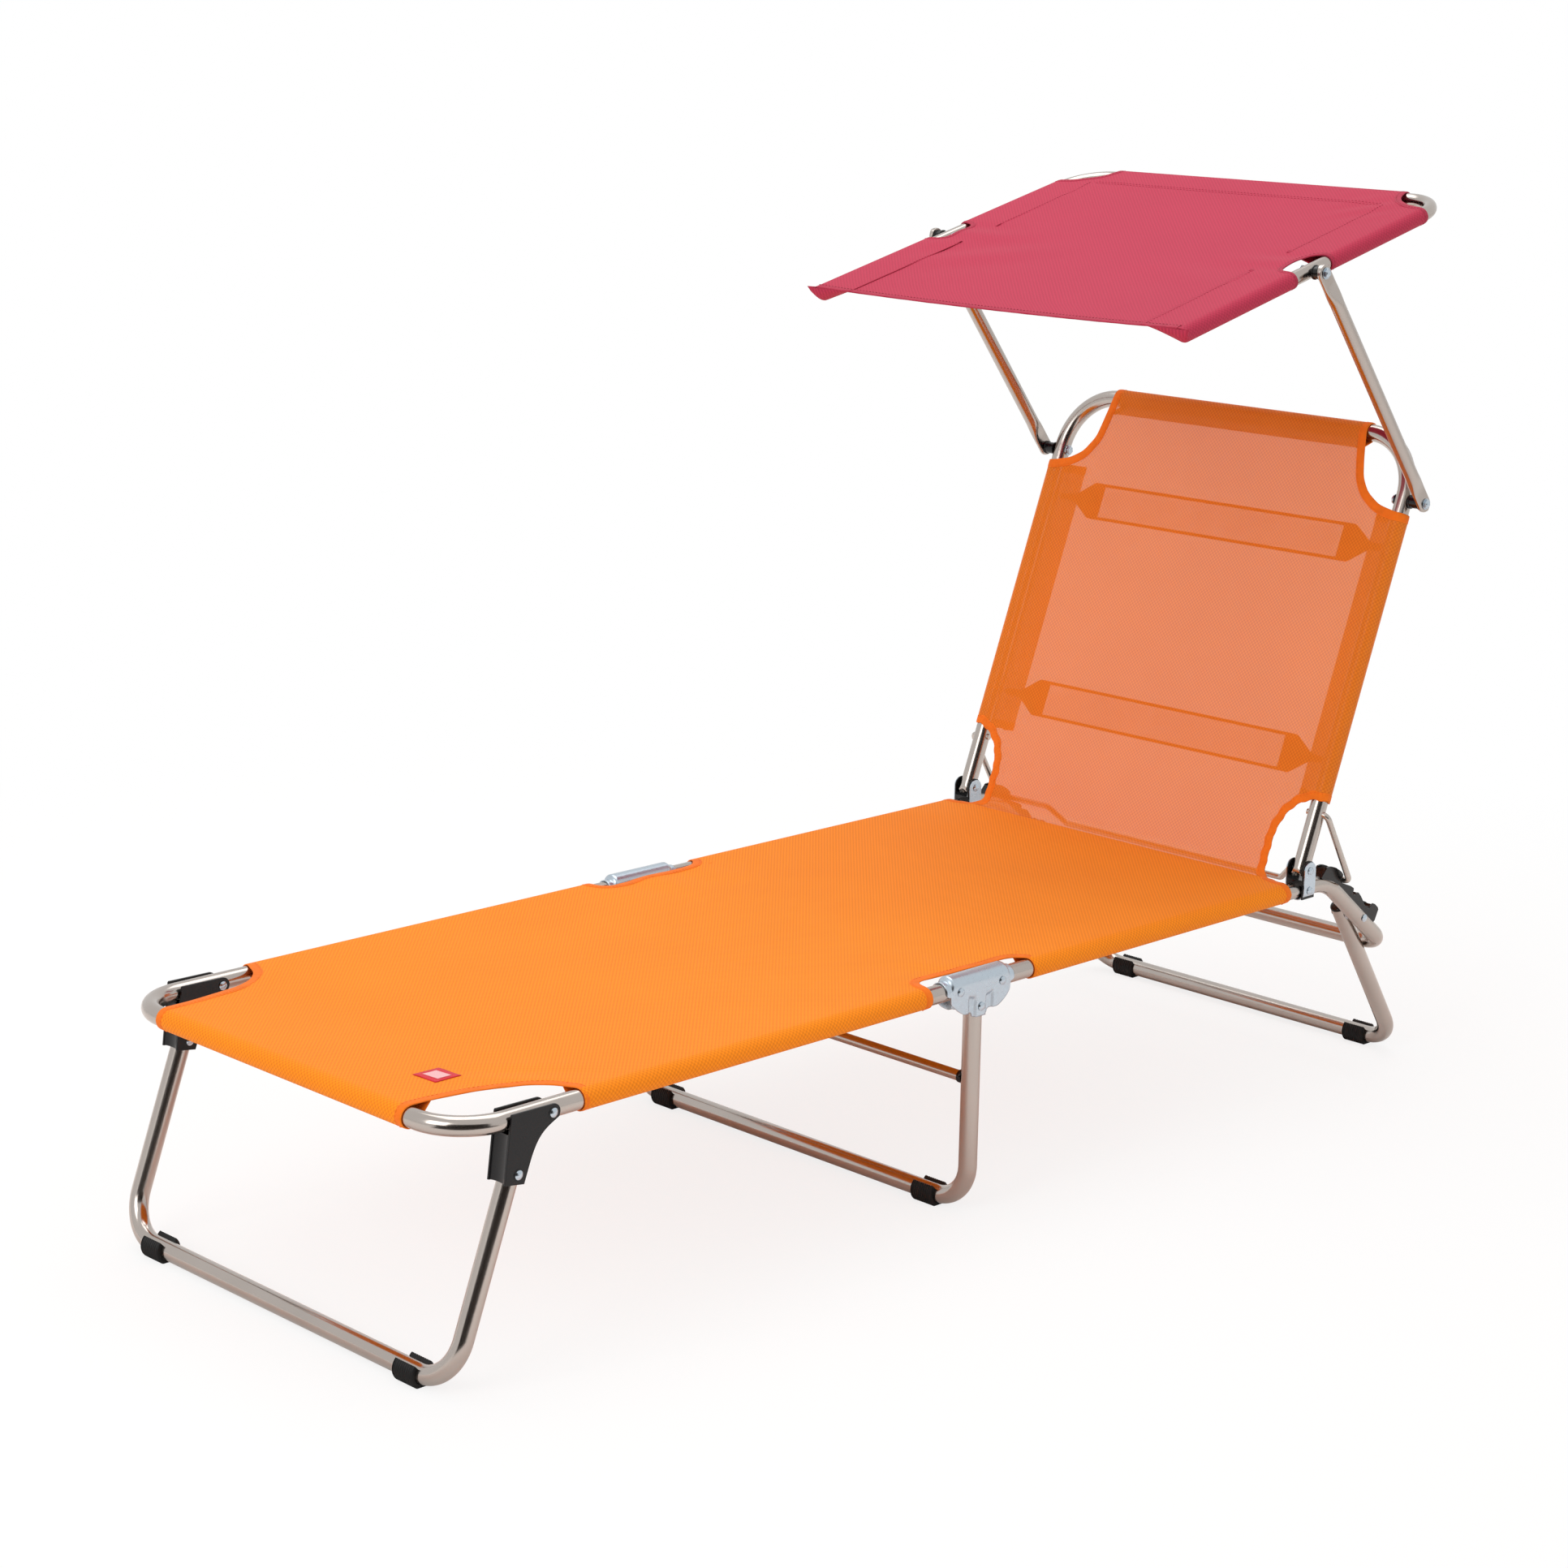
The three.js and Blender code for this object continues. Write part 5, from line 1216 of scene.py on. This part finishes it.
class LOUNGER_OT_canopy_cloth(bpy.types.Operator):
    """Stretch the sunshade's one sheet over its bow, with sleeves, bindings and front hem"""
    bl_idname = "lounger.canopy_cloth"
    bl_label = "Canopy Cloth"

    def execute(self, context):
        cloth = setting("cloth")
        mesh = woven("raspberry_coated_mesh", cloth.canopy, cloth.pitch, dark=0.78, light=1.1)
        tapes = trimmings("raspberry", *(tuple(c * shade for c in cloth.canopy) for shade in (0.86, 0.75)))
        section = hem_section(CANOPY_CLOTH_RISE, CANOPY_SEAM)
        front, arm, rear, top = canopy_edge()
        edge = whole((front, arm, rear, top))
        columns, bow_deep, bow_from, shut_from = 57, 8, -200, -CANOPY_FRONT - 1

        def bowed(x, place):
            """The front edge curves back between its tips: places near it shift by a cosine of x
            that fades inward."""
            near = np.clip((bow_from - place) / (bow_from - CANOPY_TIP), 0, 1)
            return place + bow_deep * np.cos(x / CANOPY_X * pi / 2) * near

        grid, marks = sheet_grid(edge, canopy_rise, columns)
        grid[..., 1] = bowed(grid[..., 0], grid[..., 1])
        shells = [shell(grid, marks)] + bar_hem(CANOPY_TOP_HALF, CANOPY_REAR, 1, section, columns)
        # in front of the bow's ends each sleeve is pressed flat by sqrt(1 - t^2) and sewn shut
        rows = bar_rows(edge, CANOPY_X)[:, 0]
        gap = int(np.argmax(np.diff(rows) > 50)) + 1
        flat = flattened(section, CANOPY_SEAM, CANOPY_CLOTH_RISE)
        sleeves = []
        for part in (np.union1d(rows[:gap], np.linspace(CANOPY_TIP, shut_from, 9)), rows[gap:]):
            full = rounding(np.clip(shut_from - part, 0, None) / (shut_from - CANOPY_TIP))[:, None, None]
            shape = section * full + flat * (1 - full)
            x = CANOPY_X + shape[..., 0]
            sleeve = laid(x, bowed(np.minimum(x, CANOPY_X), part[:, None]), shape[..., 1])
            sleeves.append(shell(sleeve, laid(CANOPY_X + runs(section), part[:, None])))
        cover = make("canopy_mesh_sheet", moved(shells + sleeves + other_side(sleeves), in_canopy), mesh, "canopy",
                     "raspberry_mesh", ("canopy_cover",), sharp=80, wall=CLOTH_GAUGE)
        down = np.array((0, -cos(CANOPY_TILT), -sin(CANOPY_TILT)))
        corner = hemmed(side_ring(CANOPY_X, CANOPY_CORNER, section), top, canopy_rise,
                        bar_ring(CANOPY_TOP_HALF, CANOPY_REAR, 1, section))
        notch = hemmed(side_ring(CANOPY_X, -CANOPY_ARM_GAP, section), arm, canopy_rise,
                       side_ring(CANOPY_X, CANOPY_ARM_GAP, section))
        trims = []
        for name, line, width in (("corner", corner, 9.0), ("arm", notch, 7.0)):
            trims += sewn(f"canopy_{name}_binding", line, down, in_canopy, tapes, "raspberry_mesh", width,
                          body="canopy")
        x = np.linspace(-CANOPY_X, CANOPY_X, 121)
        hem = laid(x, bowed(x, CANOPY_TIP), canopy_rise(x, np.full_like(x, CANOPY_TIP)))
        trims.append(make("canopy_front_hem", binding(in_canopy(hem), -down, 9.0, 2.6), tapes[0], "canopy",
                          "raspberry_mesh"))
        seams = [hem + (0, 6.5, 1.5)]

        def seam(x, y, across=1):
            x, y = np.broadcast_arrays(x, y)
            seams.append(laid(across * x, y, canopy_rise(x, y) + 0.6))

        for across in (1, -1):
            for low, high in ((-238, -40), (40, 230)):
                seam(CANOPY_X - CANOPY_SEAM + 3, np.linspace(low, high, 40), across)
        for inset in (3, 9):
            seam(np.linspace(5 - CANOPY_TOP_HALF, CANOPY_TOP_HALF - 5, 90), CANOPY_REAR - CANOPY_SEAM + inset)
        make("canopy_seams", [part for line in seams for part in stitches(in_canopy(line))], tapes[1], "canopy",
             "raspberry_mesh")
        return {"FINISHED"}


class LOUNGER_OT_tag(bpy.types.Operator):
    """Sew the plain red tag onto the foot sheet"""
    bl_idname = "lounger.tag"
    bl_label = "Sewn Tag"

    def execute(self, context):
        middle, turn = (159.0, 81.0), radians(3)

        def patch(name, finish, value, half_u, half_v, lift, wall):
            u, v = np.meshgrid(np.linspace(-half_u, half_u, 13), np.linspace(-half_v, half_v, 13), indexing="ij")
            x = middle[0] + u * cos(turn) - v * sin(turn)
            y = middle[1] + u * sin(turn) + v * cos(turn)
            rise = bed_rise(x, y) + lift + 0.3 * np.sin(u / 6) * np.cos(v / 7)
            satin = woven(finish, value, 2.2 * MM, dark=0.85, light=1.1, roughness=0.5)
            return make(name, moved([shell(laid(x, y, rise), laid(u, v))], on_bed), satin, "foot_frame", "orange_mesh",
                        wall=wall)

        tag = patch("sewn_tag", "red_satin_tag", setting("cloth").tag, 18, 18, 1.0, 0.5)
        field = patch("sewn_tag_field", "blank_pale_field", setting("cloth").tag_field, 12, 9.5, 1.5, 0.3)
        return {"FINISHED"}


def add_floor(studio):
    """Matt paper that still takes the shadow, seen mostly as white by the camera."""
    finish, tree, skin = principled("matt_paper_floor", studio.floor, Roughness=0.9)
    tree.nodes.remove(skin)
    place = coords(tree)
    tooth = add(tree, "ShaderNodeTexNoise", {0: place, 2: 60.0, 3: 3.0}).outputs[0]
    relief = add(tree, "ShaderNodeBump", {"Strength": 0.05, "Distance": 0.0005, "Height": tooth}).outputs[0]
    paper = add(tree, "ShaderNodeBsdfDiffuse", {0: (*studio.floor, 1), "Roughness": 0.6, "Normal": relief}).outputs[0]
    white = add(tree, "ShaderNodeEmission", {0: (1, 1, 1, 1), 1: 1.0}).outputs[0]
    far_off = add(tree, "ShaderNodeVectorMath", {0: place}, operation="LENGTH").outputs["Value"]
    seen = add(tree, "ShaderNodeLightPath").outputs["Is Camera Ray"]
    beside_object, fade_from, fade_to = 0.8, 1.0, 2.3
    part = maths(tree, "MULTIPLY", seen, ranged(tree, far_off, beside_object, 1.0, fade_from, fade_to))
    mix = add(tree, "ShaderNodeMixShader", {0: part, 1: paper, 2: white})
    tree.links.new(mix.outputs[0], tree.nodes["Material Output"].inputs[0])
    reach = 40.0
    add_cards("studio_floor", finish, [(-reach, -reach, 0), (reach, -reach, 0), (reach, reach, 0), (-reach, reach, 0)])


def add_cards(name, finish, corners):
    """Four-sided cards of the studio, every four corners one card."""
    mesh = bpy.data.meshes.new(name)
    mesh.from_pydata(corners, [], [tuple(range(k, k + 4)) for k in range(0, len(corners), 4)])
    thing = placed(mesh, finish)
    return thing


def add_unlit_side():
    """The studio's unlit side, seen only in mirrors: a dark wall behind the camera and the dark
    floor before it."""
    value = linear("#2B2522")
    finish, tree, skin = principled("unlit_studio_side", value, Roughness=0.9)
    tinted(tree, skin, value, 0.8, 1.2, add(tree, "ShaderNodeTexNoise", {0: coords(tree), 2: 0.4}).outputs[0])
    turn, far, near, high, lift = radians(45.4), 5, 1.4, 3.1, 0.002
    away, along = np.array((sin(turn), -cos(turn))), np.array((cos(turn), sin(turn)))
    card = add_cards("studio_wall", finish, [(*(away * reach + along * side * reach * 0.8), z) for side, reach, z in (
        (-1, far, 0), (1, far, 0), (1, far, high), (-1, far, high),
        (-1, near, lift), (1, near, lift), (1, far, lift), (-1, far, lift))])
    card.visible_camera = card.visible_diffuse = card.visible_shadow = card.visible_transmission = False


def add_white_room(scene, studio):
    """Full white where it is seen, lower where it is mirrored or lights the object."""
    scene.world = bpy.data.worlds.new("white_room")
    scene.world.use_nodes = True
    tree = scene.world.node_tree
    seen = add(tree, "ShaderNodeLightPath").outputs
    mirrored = ranged(tree, seen["Is Glossy Ray"], studio.sky, studio.mirrored)
    straight = maths(tree, "MAXIMUM", seen["Is Camera Ray"], seen["Is Transmission Ray"])
    room = tree.nodes["Background"]
    room.inputs[0].default_value = (1, 1, 1, 1)
    tree.links.new(ranged(tree, straight, mirrored, 1.0), room.inputs[1])


def add_camera(scene):
    """The camera fitted to the photograph: turned, raised and rolled about the point it looks at."""
    turn, height, roll = radians(45.38), radians(13.9), radians(0.95)
    distance, focal_px, photo_px = 4.0463, 4137.7, 1932
    back = np.array((sin(turn) * cos(height), -cos(turn) * cos(height), sin(height)))
    right = np.array((cos(turn), sin(turn), 0))
    up = np.cross(back, right)
    right, up = cos(roll) * right + sin(roll) * up, cos(roll) * up - sin(roll) * right
    place = np.array((-21.5, -61.1, 464.3)) * MM + distance * back
    lens = bpy.data.cameras.new("photo_camera")
    lens.sensor_width, lens.lens = 36, 36 * focal_px / photo_px
    scene.camera = bpy.data.objects.new("photo_camera", lens)
    scene.camera.matrix_world = Matrix([*np.column_stack((right, up, back, place)).tolist(), (0, 0, 0, 1)])
    scene.collection.objects.link(scene.camera)


class LOUNGER_OT_studio(bpy.types.Operator):
    """Set the floor, soft light, white room and the camera at the photograph's angle"""
    bl_idname = "lounger.studio"
    bl_label = "Studio"

    def execute(self, context):
        scene, studio = context.scene, setting("studio")
        scene.view_settings.view_transform = "Standard"
        add_floor(studio)
        add_unlit_side()
        add_white_room(scene, studio)
        for name, power, size, place, aim in (("overhead", studio.lamp, 2.6, (-0.6, 0.4, 3.4), (0, 0, 0.3)),
                                              ("beside_camera", studio.fill, 2.0, (0.4, -3.6, 2.2), (0, 0, 0.4))):
            lamp = bpy.data.lights.new(f"soft_lamp_{name}", "AREA")
            lamp.energy, lamp.size = power, size
            light = bpy.data.objects.new(lamp.name, lamp)
            light.location = place
            light.rotation_euler = (Vector(aim) - Vector(place)).to_track_quat("-Z", "Y").to_euler()
            scene.collection.objects.link(light)
        add_camera(scene)
        return {"FINISHED"}


BUILDERS = (LOUNGER_OT_bed_tubes, LOUNGER_OT_legs, LOUNGER_OT_feet, LOUNGER_OT_brackets, LOUNGER_OT_rivets,
            LOUNGER_OT_hinges, LOUNGER_OT_bail, LOUNGER_OT_canopy_frame, LOUNGER_OT_bed_cloth,
            LOUNGER_OT_backrest_cloth, LOUNGER_OT_tension_bands, LOUNGER_OT_canopy_cloth, LOUNGER_OT_tag,
            LOUNGER_OT_studio)
SETTINGS = {"lounger_metal": LoungerMetal, "lounger_plastic": LoungerPlastic, "lounger_cloth": LoungerCloth,
            "lounger_studio": LoungerStudio}


class LOUNGER_PT_sidebar(bpy.types.Panel):
    """Sizes, colours and pieces of the lounger"""
    bl_idname = "LOUNGER_PT_sidebar"
    bl_label = "Sun Lounger"
    bl_space_type = "VIEW_3D"
    bl_region_type = "UI"
    bl_category = "Lounger"

    def draw(self, context):
        for name, kind in SETTINGS.items():
            box = self.layout.box()
            for key in kind.__annotations__:
                box.prop(getattr(context.scene, name), key)
        for builder in BUILDERS:
            self.layout.operator(builder.bl_idname)


def register():
    for kind in (*SETTINGS.values(), *BUILDERS, LOUNGER_PT_sidebar):
        bpy.utils.register_class(kind)
    for name, kind in SETTINGS.items():
        setattr(bpy.types.Scene, name, bpy.props.PointerProperty(type=kind))


def unregister():
    for name in SETTINGS:
        delattr(bpy.types.Scene, name)
    for kind in (LOUNGER_PT_sidebar, *reversed(BUILDERS), *SETTINGS.values()):
        bpy.utils.unregister_class(kind)


def main():
    register()
    for builder in BUILDERS:
        group, call = builder.bl_idname.split(".")
        getattr(getattr(bpy.ops, group), call)()


if __name__ == "__main__":
    main()
